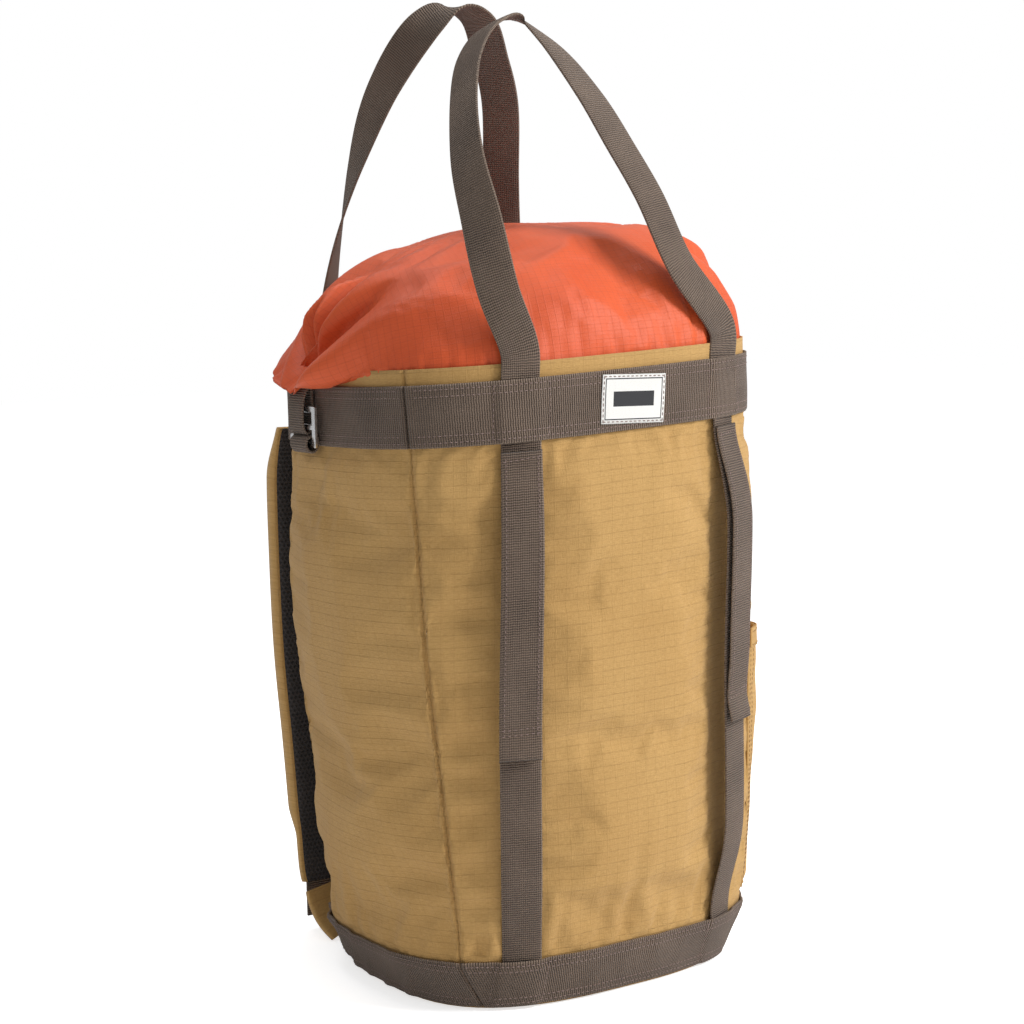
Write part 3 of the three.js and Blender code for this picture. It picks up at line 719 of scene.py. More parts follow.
def makeShell():
    rows = shellForm["rows"]
    heights = np.linspace(shellForm["foot"], bodyForm["mouthHeight"] + 0.0015, rows)
    points, uv, held, limit, outward = [], [], [], [], []
    for z in heights:
        around, seamGap = columnsAt(z)
        depth = wrinkles(z, around, seamGap)
        normal = wallNormals(z, around)
        points.append(wall(z, around, -0.0002) + normal * depth[:, None])
        uv.append(np.stack([around, np.full_like(around, z)], -1))
        strapGap = strapDistance(z, around)
        belted = float(1 - smooth(z, beltForm["baseTop"] - 0.002, beltForm["baseTop"] + 0.004)
                       * (1 - smooth(z, beltForm["foot"] - 0.004, beltForm["foot"] + 0.002)))
        held.append(np.clip(np.maximum(belted, np.exp(-(strapGap / 0.009) ** 2)) + 0.8 * (seamGap < 0.0022), 0, 1))
        underPad = float(smooth(z, 0.03, 0.05)
                         * (1 - smooth(z, 0.345, 0.36))) * (1
                - smooth(np.abs(around - roundAt(z) / 2), 0.092, 0.105))
        room = 1 - 0.92 * np.maximum(underPad, pocketCover(z, around))
        limit.append(mix(0.0042, 0.0, belted) * smooth(strapGap, 0.006, 0.034) * room + 0.0004)
        outward.append(normal)
    columns = len(around)
    faces = gridFaces(rows, columns, True)
    piece = makeMesh("bodyShell", np.array(points).reshape(-1, 3), faces, uv=np.array(uv).reshape(-1, 2))
    length = roundAt(0.22)
    layer = piece.data.uv_layers["cut"].data
    wrap = np.zeros(len(layer) * 2, np.float32)
    layer.foreach_get("uv", wrap)
    wrap = wrap.reshape(-1, 4, 2)
    # The last column's faces close the ring, so their far side gets the full distance round
    low = wrap[:, 1:3, 0] < wrap[:, 0:1, 0] - 0.1
    wrap[:, 1:3, 0] += low * length
    layer.foreach_set("uv", wrap.ravel())
    letClothSettle(piece, np.concatenate(held), np.concatenate(limit), np.concatenate(outward), 0.022, 0.6, 16)
    solid = piece.modifiers.new("thickness", "SOLIDIFY")
    solid.thickness, solid.offset = shellForm["thickness"], -1
    return piece


def letClothSettle(piece, held, limit, outward, spare, pressure, frames):
    # The cloth is cut a little too big and swells from inside, so it buckles into its own creases;
    # held keeps it on its belts and straps, and no point moves further out than its limit
    scene = bpy.context.scene
    group = piece.vertex_groups.new(name="held")
    for i, weight in enumerate(held):
        if weight > 0.01:
            group.add([i], float(weight), "REPLACE")
    start = np.zeros(len(piece.data.vertices) * 3)
    piece.data.vertices.foreach_get("co", start)
    cloth = piece.modifiers.new("cloth", "CLOTH")
    rules = cloth.settings
    rules.quality, rules.mass = 5, 0.25
    rules.tension_stiffness = rules.compression_stiffness = 18
    rules.shear_stiffness, rules.bending_stiffness = 5, 0.6
    rules.vertex_group_mass, rules.pin_stiffness = "held", 1.0
    rules.shrink_min = -spare
    rules.use_pressure, rules.uniform_pressure_force = True, pressure
    rules.effector_weights.gravity = 0.0
    cloth.collision_settings.use_collision = False
    cloth.point_cache.frame_start, cloth.point_cache.frame_end = 1, frames
    scene.frame_start, scene.frame_end = 1, frames
    for step in range(1, frames + 1):
        scene.frame_set(step)
    graph = bpy.context.evaluated_depsgraph_get()
    settled = np.zeros(len(start))
    piece.evaluated_get(graph).data.vertices.foreach_get("co", settled)
    piece.modifiers.remove(cloth)
    scene.frame_set(1)
    move = (settled - start).reshape(-1, 3)
    out = (move * outward).sum(1, keepdims=True)
    capped = np.clip(out, -limit[:, None] - 0.0015, limit[:, None])
    move += (capped - out) * outward
    size = np.linalg.norm(move, axis=1, keepdims=True)
    move *= np.minimum(1, 0.008 / np.maximum(size, 1e-9))
    piece.data.vertices.foreach_set("co", (start + move.ravel()))
    piece.data.update()
    print(piece.name, "settled, furthest", round(float(size.max()) * 1000, 1), "mm")


shell = fit(makeShell(), "bodyCloth", "body_cloth", "bag", "front_panel", "right_panel", "back_panel", "left_panel")
round(roundAt(0.22), 3)
print("body made")


stitchRows = {}


def addStitches(body, points, look="thread"):
    # A line of stitches to sew later, as points in place
    stitchRows.setdefault((body, look), []).append(settle(np.asarray(points, float)))


mouthBelt = {"gap": 0.0006, "overStrap": 0.0017, "ripple": 0.00035, "stitchInset": (0.0030, 0.0072),
             "boxStitch": 0.0176}
baseBelt = {"gap": 0.0006, "overStrap": 0.0017, "ripple": 0.0005, "pleat": 0.0014, "stitchInset": (0.0028, 0.0066),
            "boxStitch": 0.0166}
faceNames = ("front", "right", "back", "left")


def beltOut(form, z, around, pleats):
    gap = strapDistance(z, around)
    over = 1 - smooth(gap, 0.0125, 0.0165)
    length = roundAt(z)
    signed = np.mod(around + length / 2, length) - length / 2
    ripple = waves(21, signed, np.full_like(around, z), 5, (0.03, 0.09)) * form["ripple"]
    if pleats:
        ripple = ripple + form["pleat"] * pleats * np.clip(waves(24, signed, np.full_like(around, z), 5,
                (0.016, 0.034), lean=0.5), 0, 2) * (1 - over)
    return form["gap"] + form["overStrap"] * over + np.maximum(ripple, -0.0003)


def makeBelt(prefix, form, low, high, pleated):
    height = high - low
    profile = bandProfile(height, beltForm["thickness"], 8)
    profileZ = (low + high) / 2 + profile[:, 0]
    for index, face in enumerate(faceNames):
        rows = 96 if face in ("front", "back") else 64
        ends = 0.0004
        heights = [max(z, 0.0012) for z in profileZ]
        spans = [faceSpans(z)[index] for z in heights]
        middleWidth = faceSpans((low + high) / 2)[index][1]
        # Rows crowd toward both ends, where the belt is folded under
        share = np.linspace(0, 1, rows)
        share = share - 0.08 * np.sin(2 * math.pi * share) / math.pi
        pleats = (0.9 if face == "left" else 0.35) if pleated else 0

        def place(i, across, out):
            points = []
            for (start, width), z, o in zip(spans, heights, out):
                around = np.array([start + ends + share[i] * (width - 2 * ends)])
                endGap = min(share[i], 1 - share[i]) * width
                lift = 0.0007 * math.exp(-((endGap - 0.0022) / 0.0016) ** 2)
                points.append(wall(z, around, beltOut(form, z, around, pleats) + o + lift)[0])
            return points

        piece = sweepBand(prefix + "_" + face, rows, share * middleWidth, profile, place)
        fit(piece, "webbing", "webbing", "bag", prefix + "_" + face)
        surface = beltForm["thickness"] + 0.00005
        for inset in form["stitchInset"]:
            for z in (low + inset, high - inset):
                start, width = faceSpans(z)[index]
                around = np.linspace(start + 0.004, start + width - 0.004, 80)
                addStitches("bag", wall(z, around, beltOut(form, z, around, pleats) + surface))
        if face in ("front", "back"):
            for side in (-1, 1):
                for edge in (-1, 1):
                    line = []
                    for z in np.linspace(low + 0.0045, high - 0.0045, 14):
                        centre = strapCentre(face, side, z) + edge * form["boxStitch"]
                        around = np.array([centre + 0.0012 * math.sin((z - low) * 40)])
                        line.append(wall(z, around, beltOut(form, z, around, pleats) + surface)[0])
                    addStitches("bag", line)


makeBelt("mouth_belt", mouthBelt, beltForm["foot"], beltForm["top"], False)
makeBelt("base_belt", baseBelt, beltForm["baseFoot"], beltForm["baseTop"], True)


def strapOut(z, standOff):
    return 0.0004 + standOff * float(smooth(z, 0.036, 0.10) * (1 - smooth(z, 0.290, 0.352)))


def strapSpots(face, side, z, across, out, tilt):
    # Points of a strap at one height: webbing half follows the wall's curve, half stays flat
    centre = strapCentre(face, side, z)
    middle = wall(z, np.array([centre]), tilt)[0]
    normal = wallNormals(z, np.array([centre]))[0]
    tangent = np.array([-normal[1], normal[0], 0])
    bow = waves(31 + side, np.array([z]), np.array([0.0]), 3, (0.08, 0.2))[0] * 0.0006 * (1 if tilt > 0.001 else 0)
    return [mix(wall(z, np.array([centre + s]), tilt)[0], middle + tangent * s, 0.5) + normal * (o + bow) for s,
            o in zip(across, out)]


def makeWallStrap(name, face, side, low, high, width, outAt, rows):
    # A strip of webbing up the wall, its height the length of its weave
    profile = bandProfile(width, strapForm["thickness"], 6)
    heights = np.linspace(low, high, rows)
    return sweepBand(name, rows, heights, profile, lambda i, across,
                     out: strapSpots(face, side, heights[i], across, out, outAt(heights[i])))


sleeveForm = {
    "low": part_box("lash_sleeve_left")[0].z, "high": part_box("lash_sleeve_left")[1].z,
    "lift": 0.0021, "slack": 0.0016, "flare": 0.0022, "stitchLow": 0.181, "stitchHigh": 0.347,
}


def sleeveOut(z):
    form = sleeveForm
    slack = form["slack"] * float(smooth(z, form["stitchLow"], form["stitchLow"] + 0.03)
                                  * (1 - smooth(z, form["stitchHigh"] - 0.04, form["stitchHigh"])))
    flare = form["flare"] * float(1 - smooth(z, form["low"], form["stitchLow"]))
    return strapOut(z, strapForm["standOff"]) + form["lift"] + slack + flare


def makeStraps():
    for sideName, side in (("left", -1), ("right", 1)):
        front = makeWallStrap("front_strap_" + sideName, "front", side, 0.012, beltForm["top"], strapForm["width"],
                              lambda z: strapOut(z, strapForm["standOff"]), 90)
        rear = makeWallStrap("rear_strap_" + sideName, "back", -side, 0.012, beltForm["top"], strapForm["width"],
                             lambda z: 0.0004, 60)
        sleeve = makeWallStrap("lash_sleeve_" + sideName, "front", side, sleeveForm["low"], sleeveForm["high"],
                               strapForm["width"] + 0.0005, sleeveOut, 60)
        for piece, node in ((front, "front_strap_"), (rear, "rear_strap_"), (sleeve, "lash_sleeve_")):
            fit(piece, "webbing", "webbing", "bag", node + sideName)
        surface = strapForm["thickness"] + 0.0001
        across = np.linspace(-0.0105, 0.0105, 10)
        for z in (sleeveForm["stitchLow"], sleeveForm["stitchLow"] + 0.0035, sleeveForm["stitchHigh"]):
            rise = z + 0.10 * across * (1 if z > 0.3 else 0.5)
            addStitches("bag", [strapSpots("front", side, r, [s], [surface], sleeveOut(r))[0] for s,
                                r in zip(across, rise)])
        for shift in (-0.0098, 0.0098):
            heights = np.linspace(sleeveForm["stitchLow"], sleeveForm["stitchHigh"], 40)
            addStitches("bag", [strapSpots("front", side, z, [shift], [surface], sleeveOut(z))[0] for z in heights])


makeStraps()


labelForm = {"width": 0.047, "height": 0.030, "thickness": 0.0007, "shift": 0.004, "tilt": math.radians(-4.0)}


def makeLabel():
    form = labelForm
    profile = bandProfile(form["width"], form["thickness"], 14)
    middle = (beltForm["foot"] + beltForm["top"]) / 2
    rises = np.linspace(-form["height"] / 2, form["height"] / 2, 12)

    def spot(s, t, out):
        around = form["shift"] + s * math.cos(form["tilt"]) - t * math.sin(form["tilt"])
        z = middle + s * math.sin(form["tilt"]) + t * math.cos(form["tilt"])
        place = np.array([around])
        return wall(z, place, beltOut(mouthBelt, z, place, 0) + beltForm["thickness"] + 0.0002 + out)[0]

    piece = sweepBand("label_patch", len(rises), rises, profile, lambda i, across,
                      out: [spot(s, rises[i], o) for s, o in zip(across, out)])
    fit(piece, "label", "label", "bag", "label_patch")
    a, b = form["width"] / 2 - 0.0012, form["height"] / 2 - 0.0012
    loop = [(-a, -b), (a, -b), (a, b), (-a, b), (-a, -b)]
    for (x0, y0), (x1, y1) in zip(loop, loop[1:]):
        addStitches("bag", [spot(mix(x0, x1, t), mix(y0, y1, t), form["thickness"] + 0.0001)
                            for t in np.linspace(0.02, 0.98, 20)])


makeLabel()
print("belts, straps and label made")


pocketForm = {"low": 0.038, "high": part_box("side_pocket")[1].z, "inset": 0.012, "swell": 0.0095,
              "thickness": 0.0012, "hem": 0.013}


def pocketSpan(z):
    start, width = faceSpans(z)[1]
    return start + pocketForm["inset"], width - 2 * pocketForm["inset"]


def pocketOut(u, z, width):
    edge = np.minimum(np.minimum(u, 1 - u) * width, (z - pocketForm["low"]) * 1.2)
    rise = np.sin(np.clip(edge / 0.022, 0, 1) * math.pi
                  / 2) * pocketForm["swell"] * mix(0.5, 1.0, float(smooth(z, 0.07, 0.19)))
    fold = waves(41, u * width, np.full_like(u, z), 6, (0.020, 0.05), lean=0.5) * 0.0011 * smooth(edge, 0.004, 0.02)
    gather = waves(44, u * width, np.full_like(u, z), 5, (0.008, 0.018),
                   lean=0.2) * 0.0009 * math.exp(-(z - pocketForm["low"]) / 0.018)
    side = waves(47, np.full_like(u, z), u * width, 5, (0.024, 0.05),
                 lean=0.3) * 0.0005 * np.exp(-((np.minimum(u, 1 - u) * width) / 0.02) ** 2)
    top = 0.0008 * np.sin(u * math.pi) * smooth(z, 0.15, pocketForm["high"])
    return 0.0009 + rise + (fold + gather + side) * smooth(edge, 0.001, 0.008) - top


def makePocket():
    columns, rows = 72, 72
    heights = np.linspace(pocketForm["low"], pocketForm["high"], rows)
    points, uv = [], []
    for z in heights:
        start, width = pocketSpan(z)
        u = np.linspace(0, 1, columns)
        points.append(wall(z, start + u * width, pocketOut(u, z, width)))
        uv.append(np.stack([u * width, np.full_like(u, z)], -1))
    piece = makeMesh("side_pocket", np.array(points).reshape(-1, 3), gridFaces(rows, columns, False),
                     uv=np.array(uv).reshape(-1, 2))
    solid = piece.modifiers.new("thickness", "SOLIDIFY")
    solid.thickness, solid.offset = pocketForm["thickness"], 1
    fit(piece, "bodyCloth", "body_cloth", "bag", "side_pocket")
    width = pocketSpan(0.12)[1]
    # The hem: the top edge folded over and sewn down, its length the way of the weave
    profile = bandProfile(pocketForm["hem"], 0.0011, 4)
    share = np.linspace(0.004, 0.996, 90)

    def place(i, across, out):
        spots = []
        for s, o in zip(across, out):
            z = pocketForm["high"] - pocketForm["hem"] / 2 + s + 0.0006
            start, wide = pocketSpan(z)
            u = np.array([share[i]])
            spots.append(wall(z, start + u * wide, pocketOut(u, z, wide) + pocketForm["thickness"] + o)[0])
        return spots

    hem = sweepBand("pocket_hem", len(share), share * width, profile, place)
    fit(hem, "bodyCloth", "body_cloth", "bag", "pocket_hem")
    for z in (pocketForm["high"] - pocketForm["hem"] + 0.0022, pocketForm["high"] - 0.0022):
        start, wide = pocketSpan(z)
        u = np.linspace(0.02, 0.98, 60)
        addStitches("bag", wall(z, start + u * wide, pocketOut(u, z, wide) + pocketForm["thickness"] + 0.0012),
                    "darkThread")
    for end in (0.0022, 0.0052):
        line = []
        for z in np.linspace(pocketForm["low"] + 0.003, pocketForm["high"] - 0.002, 60):
            start, wide = pocketSpan(z)
            out = pocketOut(np.array([end / wide]), z, wide) + pocketForm["thickness"] + 0.0001
            line.append(wall(z, np.array([start + end]), out)[0])
        addStitches("bag", line, "darkThread")


makePocket()
print("pocket made")


handleForm = {
    "tuck": 0.022, "steps": 190,
    # The middle of each handle's webbing: across, back from the body's middle, and up
    "front": [(-0.0803, -0.1186, 0.3953), (-0.0812, -0.1183, 0.412), (-0.0850, -0.1105, 0.447),
              (-0.0890, -0.0970, 0.490),
              (-0.0888, -0.0790, 0.528), (-0.0770, -0.0560, 0.566), (-0.0600, -0.0370, 0.592),
              (-0.0370, -0.0230, 0.610),
              (-0.0110, -0.0150, 0.6165), (0.0050, -0.0270, 0.601), (0.0185, -0.0530, 0.567),
              (0.0270, -0.0750, 0.534),
              (0.0380, -0.0930, 0.500), (0.0510, -0.1090, 0.456), (0.0700, -0.1180, 0.413),
              (0.0755, -0.1186, 0.3953)],
    "rear": [(-0.0780, 0.1186, 0.3953), (-0.0785, 0.1180, 0.412), (-0.0790, 0.1090, 0.452),
             (-0.0780, 0.0790, 0.528),
             (-0.0730, 0.0480, 0.578), (-0.0580, 0.0190, 0.615), (-0.0420, 0.0110, 0.6255),
             (-0.0220, 0.0150, 0.620),
             (0.0010, 0.0350, 0.596), (0.0190, 0.0520, 0.570), (0.0390, 0.0800, 0.520), (0.0530, 0.0980, 0.485),
             (0.0680, 0.1140, 0.440), (0.0775, 0.1182, 0.410), (0.0780, 0.1186, 0.3953)],
    # How the webbing is turned, in degrees, at shares of its length
    "frontTwist": ((0, 0.06, 0.16, 0.28, 0.44, 0.50, 0.57, 0.68, 0.85, 1),
                   (11, 13, 45, 84, 96, 118, 160, 174, 172, 169)),
    "rearTwist": ((0, 0.08, 0.18, 0.30, 0.42, 0.50, 0.60, 0.80, 1), (11, 36, 58, 100, 128, 118, 134, 152, 169)),
}


def handleFrames(face):
    # Route of a handle and the direction across it, from behind the belt and back again
    points = [list(p) for p in handleForm[face]]
    mouth = bodyForm["mouthHeight"]
    for end, sign in ((0, -1), (-1, 1)):
        foot = wall(mouth, np.array([strapCentre(face, sign if face == "front" else -sign, mouth)]), 0.0009)[0]
        for step in (0, 1):
            index = end + (step if end == 0 else -step)
            points[index][0] = foot[0]
            points[index][1] = foot[1] - bodyForm["middle"]
    route = centripetal(points, handleForm["steps"])
    down = np.linspace(handleForm["tuck"], 0.001, 10)
    before = np.array([route[0] - (0, 0, d) for d in down])
    after = np.array([route[-1] - (0, 0, d) for d in down[::-1]])
    share = np.concatenate([np.zeros(len(before)), np.linspace(0, 1, len(route)), np.ones(len(after))])
    route = np.vstack([before, route, after])
    tangent = np.gradient(route, axis=0)
    tangent /= np.linalg.norm(tangent, axis=1, keepdims=True)
    places, angles = handleForm[face + "Twist"]
    turn = np.radians(np.interp(share, places, angles))
    for _ in range(60):
        turn[1:-1] = (turn[:-2] + turn[1:-1] * 2 + turn[2:]) / 4
    sign = -1 if face == "front" else 1
    across = np.stack([np.cos(turn), sign * np.sin(turn), np.zeros_like(turn)], -1)
    across -= (across * tangent).sum(1, keepdims=True) * tangent
    across /= np.linalg.norm(across, axis=1, keepdims=True)
    route[:, 1] += bodyForm["middle"]
    return route, across, np.cross(across, tangent)


def makeHandle(name, face):
    route, across, outward = handleFrames(face)
    thickness = strapForm["thickness"]
    profile = bandProfile(strapForm["width"], thickness, 6)
    along = lengths(route)
    cup = 0.0007 * np.sin(math.pi * np.linspace(0, 1, len(route))) ** 0.5

    def place(i, s, o):
        dish = cup[i] * (1 - (2 * s / strapForm["width"]) ** 2)
        return route[i] + np.outer(s, across[i]) + np.outer(o - thickness / 2 + dish, outward[i])

    piece = sweepBand(name, len(route), along, profile, place)
    finish(piece, "webbing")
    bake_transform(piece)
    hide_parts(name)


makeHandle("front_handle", "front")
makeHandle("rear_handle", "rear")
print("handles made")


collarForm = {
    "ridge": 0.0835, "tipX": 0.1490, "tipY": 0.018, "tipZ": 0.4075, "overlap": 1.10,
    "columns": 176, "rows": 84, "thickness": 0.0004,
    "fold": 0.0090, "roll": (0.0205, 0.0130), "droop": (0.0190, 0.0100), "ruffle": 0.0012, "spare": 0.016,
    "pressure": 1.0,
}


def collarRidge(share):
    # The gathered top edge, from one tip over to the other
    x = -collarForm["tipX"] * np.cos(math.pi * share)
    flat = np.clip(np.abs(x) / collarForm["tipX"], 0, 1)
    # The left end slopes down to its tip, the right end stays full
    right = smooth(x, -0.05, 0.05)
    arch = (1 - flat ** mix(2.3, 3.6, right)) ** mix(0.85, 0.5, right)
    z = collarForm["tipZ"] + (bodyForm["mouthHeight"] + collarForm["ridge"] - collarForm["tipZ"]) * arch
    z = z + waves(51, x, np.zeros_like(x), 4, (0.05, 0.12)) * 0.0014 * (1 - flat ** 2)
    y = mix(0.0, collarForm["tipY"], flat ** 6) + waves(52, x, np.zeros_like(x), 4, (0.04, 0.10)) * 0.0016
    return np.stack([x, y, z], -1)


def makeCollarHalf(name, front, nodes):
    form = collarForm
    rows, columns = form["rows"], form["columns"]
    z0 = bodyForm["mouthHeight"]
    length = roundAt(z0)
    halfWay = np.linspace(0, length / 2, 2000)
    xs, ys, _ = wall(z0, halfWay, -0.0012).T
    tipAround = float(halfWay[np.argmin(np.abs(ys - bodyForm["middle"] - form["tipY"]) + (xs < 0.1))])
    share = np.linspace(0, 1, columns)
    ease = share - 0.12 * np.sin(2 * math.pi * share) / math.pi
    around = mix(-tipAround, tipAround, ease) if front else mix(length - tipAround, tipAround, ease)
    sign = 1 if front else -1
    hem = wall(z0, around, -0.0023)
    hem[:, 1] -= bodyForm["middle"]
    ridgeShare = np.arccos(np.clip(1 - 2 * mix(ease, (1 - np.cos(math.pi * share)) / 2, 0.25), -1, 1)) / math.pi
    ridge = collarRidge(ridgeShare)
    tip = np.array([form["tipX"], form["tipY"], form["tipZ"]])
    points, uv, outward, held, limit = [], [], [], [], []
    run = np.concatenate([[0], np.cumsum(np.hypot(np.diff(hem[:, 0]), np.diff(hem[:, 1])))])
    for i in range(rows):
        v = i / (rows - 1) * (form["overlap"] if front else 1.0)
        lift = v * math.pi / 2
        flatShare = 1 - math.copysign(abs(math.cos(lift)) ** 1.15, math.cos(lift))
        flat = hem[:, :2] + (ridge[:, :2] - hem[:, :2]) * flatShare
        z = (z0 - 0.0045) + (ridge[:, 2] - z0 + 0.0045) * math.sin(lift) ** 0.9
        row = np.concatenate([flat, z[:, None]], 1)
        # Outward: away from a point low in the middle of the mouth
        centre = np.stack([row[:, 0] * 0.55, np.zeros(columns), np.full(columns, z0 - 0.03)], -1)
        normal = row - centre
        normal /= np.linalg.norm(normal, axis=1, keepdims=True)
        push, drop = np.zeros(columns), np.zeros(columns)
        for side in (-1, 1):
            gap = row - tip * np.array([side, 1, 1])
            reach = np.linalg.norm(gap, axis=1)
            angle = np.arctan2(gap[:, 2] + 0.012, np.abs(gap[:, 0]) * 0.9 + np.abs(gap[:, 1]))
            seed = 60 + side + (0 if front else 4)
            pleat = waves(seed, angle * 0.045, reach * 0.06, 5, (0.011, 0.024), lean=0.16)
            push += form["fold"] * pleat * np.exp(-(reach / 0.085) ** 1.6) * smooth(reach, 0.004,
                    0.030) * math.sin(lift) ** 0.5
            low = math.exp(-((v - 0.17) / 0.13) ** 2) * np.exp(-((reach - 0.022) / 0.042) ** 2)
            push += form["roll"][0 if side < 0 else 1] * low
            drop += form["droop"][0 if side < 0 else 1] * low
        push += waves(71 if front else 72, row[:, 0], row[:, 2] + row[:, 1] * sign, 6,
                      (0.035, 0.11)) * 0.0017 * math.sin(math.pi * min(v * 1.1, 1))
        ruffle = waves(75 if front else 76, run, np.full(columns, v * 0.05), 5, (0.007, 0.016), lean=0.15)
        push += form["ruffle"] * ruffle * math.exp(-v / 0.09)
        push *= 1 - float(smooth(v, 0.78, 1.0))
        push = np.where(push > 0, push * smooth(v, 0.012, 0.05), push)
        row = row + normal * push[:, None]
        if front:
            row = row + normal * 0.0011 * float(smooth(v, 0.6, 0.95))
        row[:, 2] -= drop
        row[:, 1] += bodyForm["middle"]
        points.append(row)
        outward.append(normal)
        uv.append(np.stack([run, np.full(columns, v * 0.165)], -1))
        ends = np.minimum(share, 1 - share)
        held.append(np.clip(np.where(ends < 0.012, 1, 0) + (1 if v < 0.03 else 0) + (1 if v > 0.97 else 0), 0, 1)
                    * np.ones(columns))
        limit.append(np.full(columns, 0.009 * math.sin(math.pi * min(max(v, 0.02), 0.985)) ** 0.4)
                     * smooth(ends, 0.0, 0.05) * (1 - float(smooth(v, 0.85, 1.0))))
    faces = gridFaces(rows, columns, False)
    if not front:
        faces = faces[:, ::-1]
    piece = makeMesh(name, np.array(points).reshape(-1, 3), faces, uv=np.array(uv).reshape(-1, 2))
    letClothSettle(piece, np.concatenate(held), np.concatenate(limit) + 0.0002, np.concatenate(outward),
                   form["spare"], form["pressure"], 18)
    solid = piece.modifiers.new("thickness", "SOLIDIFY")
    solid.thickness, solid.offset = form["thickness"], -1
    finish(piece, "collarCloth")
    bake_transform(piece)
    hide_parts(*nodes)


makeCollarHalf("collar_front_cloth", True, ("collar_front", "collar_left_end"))
makeCollarHalf("collar_rear_cloth", False, ("collar_rear", "collar_right_end"))
print("collar made")


closureForm = {"y": 0.018, "tabWidth": 0.019, "tabShift": 0.0025, "lean": 0.25, "keeperWidth": 0.022,
               "thickness": 0.0016}


def copyNode(name, bevel=0.0, segments=2, lean=None):
    # A merged copy of a CAD node's mesh, with rounded edges and flat cloth coordinates
    form = bmesh.new()
    form.from_mesh(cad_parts[name].data)
    bmesh.ops.remove_doubles(form, verts=form.verts, dist=0.00001)
    bmesh.ops.dissolve_limit(form, angle_limit=0.02, verts=form.verts, edges=form.edges)
    form.faces.ensure_lookup_table()
    points = [tuple(v.co) for v in form.verts]
    for index, v in enumerate(form.verts):
        v.index = index
    faces, loopUv = [], []
    for f in form.faces:
        faces.append([v.index for v in f.verts])
        sideways = abs(f.normal.x) > abs(f.normal.y)
        loopUv += [((v.co.y if sideways else v.co.x), v.co.z) for v in f.verts]
    form.free()
    piece = makeMesh(name + "_made", points, faces, loopUv=loopUv, smoothShade=False, lean=lean)
    if bevel:
        edge = piece.modifiers.new("softEdges", "BEVEL")
        edge.width, edge.segments, edge.limit_method, edge.angle_limit = bevel, segments, "ANGLE", math.radians(35)
        edge.harden_normals = True
        piece.data.polygons.foreach_set("use_smooth", np.ones(len(piece.data.polygons), bool))
    return piece


def makeLoopPiece(name, route, width, side, shift=0.0):
    # Webbing that runs up and out of the wall, its width along the wall
    fine = centripetal([(x, 0.0, z) for x, z in route], 90)
    tangent = np.gradient(fine, axis=0)
    tangent /= np.linalg.norm(tangent, axis=1, keepdims=True)
    outward = np.stack([tangent[:, 2], np.zeros(len(fine)), -tangent[:, 0]], -1)
    profile = bandProfile(width, closureForm["thickness"], 4)
    along = lengths(fine)

    def place(i, s, o):
        spots = fine[i] + np.outer(o - closureForm["thickness"] / 2, outward[i])
        spots[:, 1] = closureForm["y"] + shift + bodyForm["middle"] + s
        spots[:, 0] *= side
        return spots

    piece = sweepBand(name, len(fine), along, profile, place, lean=closureForm["lean"])
    fit(piece, "webbing", "webbing", "bag")
    return piece


def makeClosures():
    for sideName, side in (("left", -1), ("right", 1)):
        hook = copyNode(sideName + "_g_hook", 0.0010, 3, closureForm["lean"])
        hook.name = hook.data.name = sideName + "_hook_bar"
        fit(hook, "metal", "hook_metal", sideName + "_hook", sideName + "_g_hook")
        # The tab comes down from the collar's end, round the hook's middle bar, and back up
        tab = makeLoopPiece(sideName + "_tab_loop", [
            (0.1470, 0.3915), (0.1470, 0.389), (0.1470, 0.386), (0.1468, 0.376), (0.1469, 0.3655), (0.1484, 0.3618),
            (0.1503, 0.3607), (0.1522, 0.3618), (0.1537, 0.3655), (0.1538, 0.376), (0.1523, 0.384), (0.1496, 0.389),
            (0.1488, 0.3915)],
            closureForm["tabWidth"], side, closureForm["tabShift"])
        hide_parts(sideName + "_tab")
        keeper = makeLoopPiece(sideName + "_keeper_loop", [
            (0.1458, 0.3585), (0.1457, 0.3548), (0.1466, 0.3512), (0.1488, 0.3494), (0.1514, 0.3496),
            (0.1535, 0.3518),
            (0.1541, 0.3545), (0.1532, 0.3575), (0.1508, 0.3588), (0.1484, 0.3590), (0.1467, 0.3600)],
            closureForm["keeperWidth"], side)
        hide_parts(sideName + "_keeper")


makeClosures()
print("closures made")


backPad = {"half": 0.092, "low": 0.048, "high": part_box("back_mesh_pad")[1].z, "start": 0.0023, "thickness": 0.0078,
           "edge": 0.0030, "channel": 0.030}


def padPlace(a, z, depth):
    offset = roundAt(z) / 2
    return wall(z, np.array([offset + a]), depth)[0]


def sewnFaces(rows, columns):
    # Faces of a closed pad: the inner grid's points come first, then the outer grid's
    count = rows * columns
    grid = gridFaces(rows, columns, False)
    faces = [list(f) for f in np.vstack([grid + count, grid[:, ::-1]])]
    rim = list(range(columns)) + [i * columns + columns - 1 for i in range(1, rows)]
    rim += [(rows - 1) * columns + j for j in range(columns - 2, -1, -1)] + [i * columns
            for i in range(rows - 2, 0, -1)]
    return faces + [[a, b, b + count, a + count] for a, b in zip(rim, rim[1:] + rim[:1])]


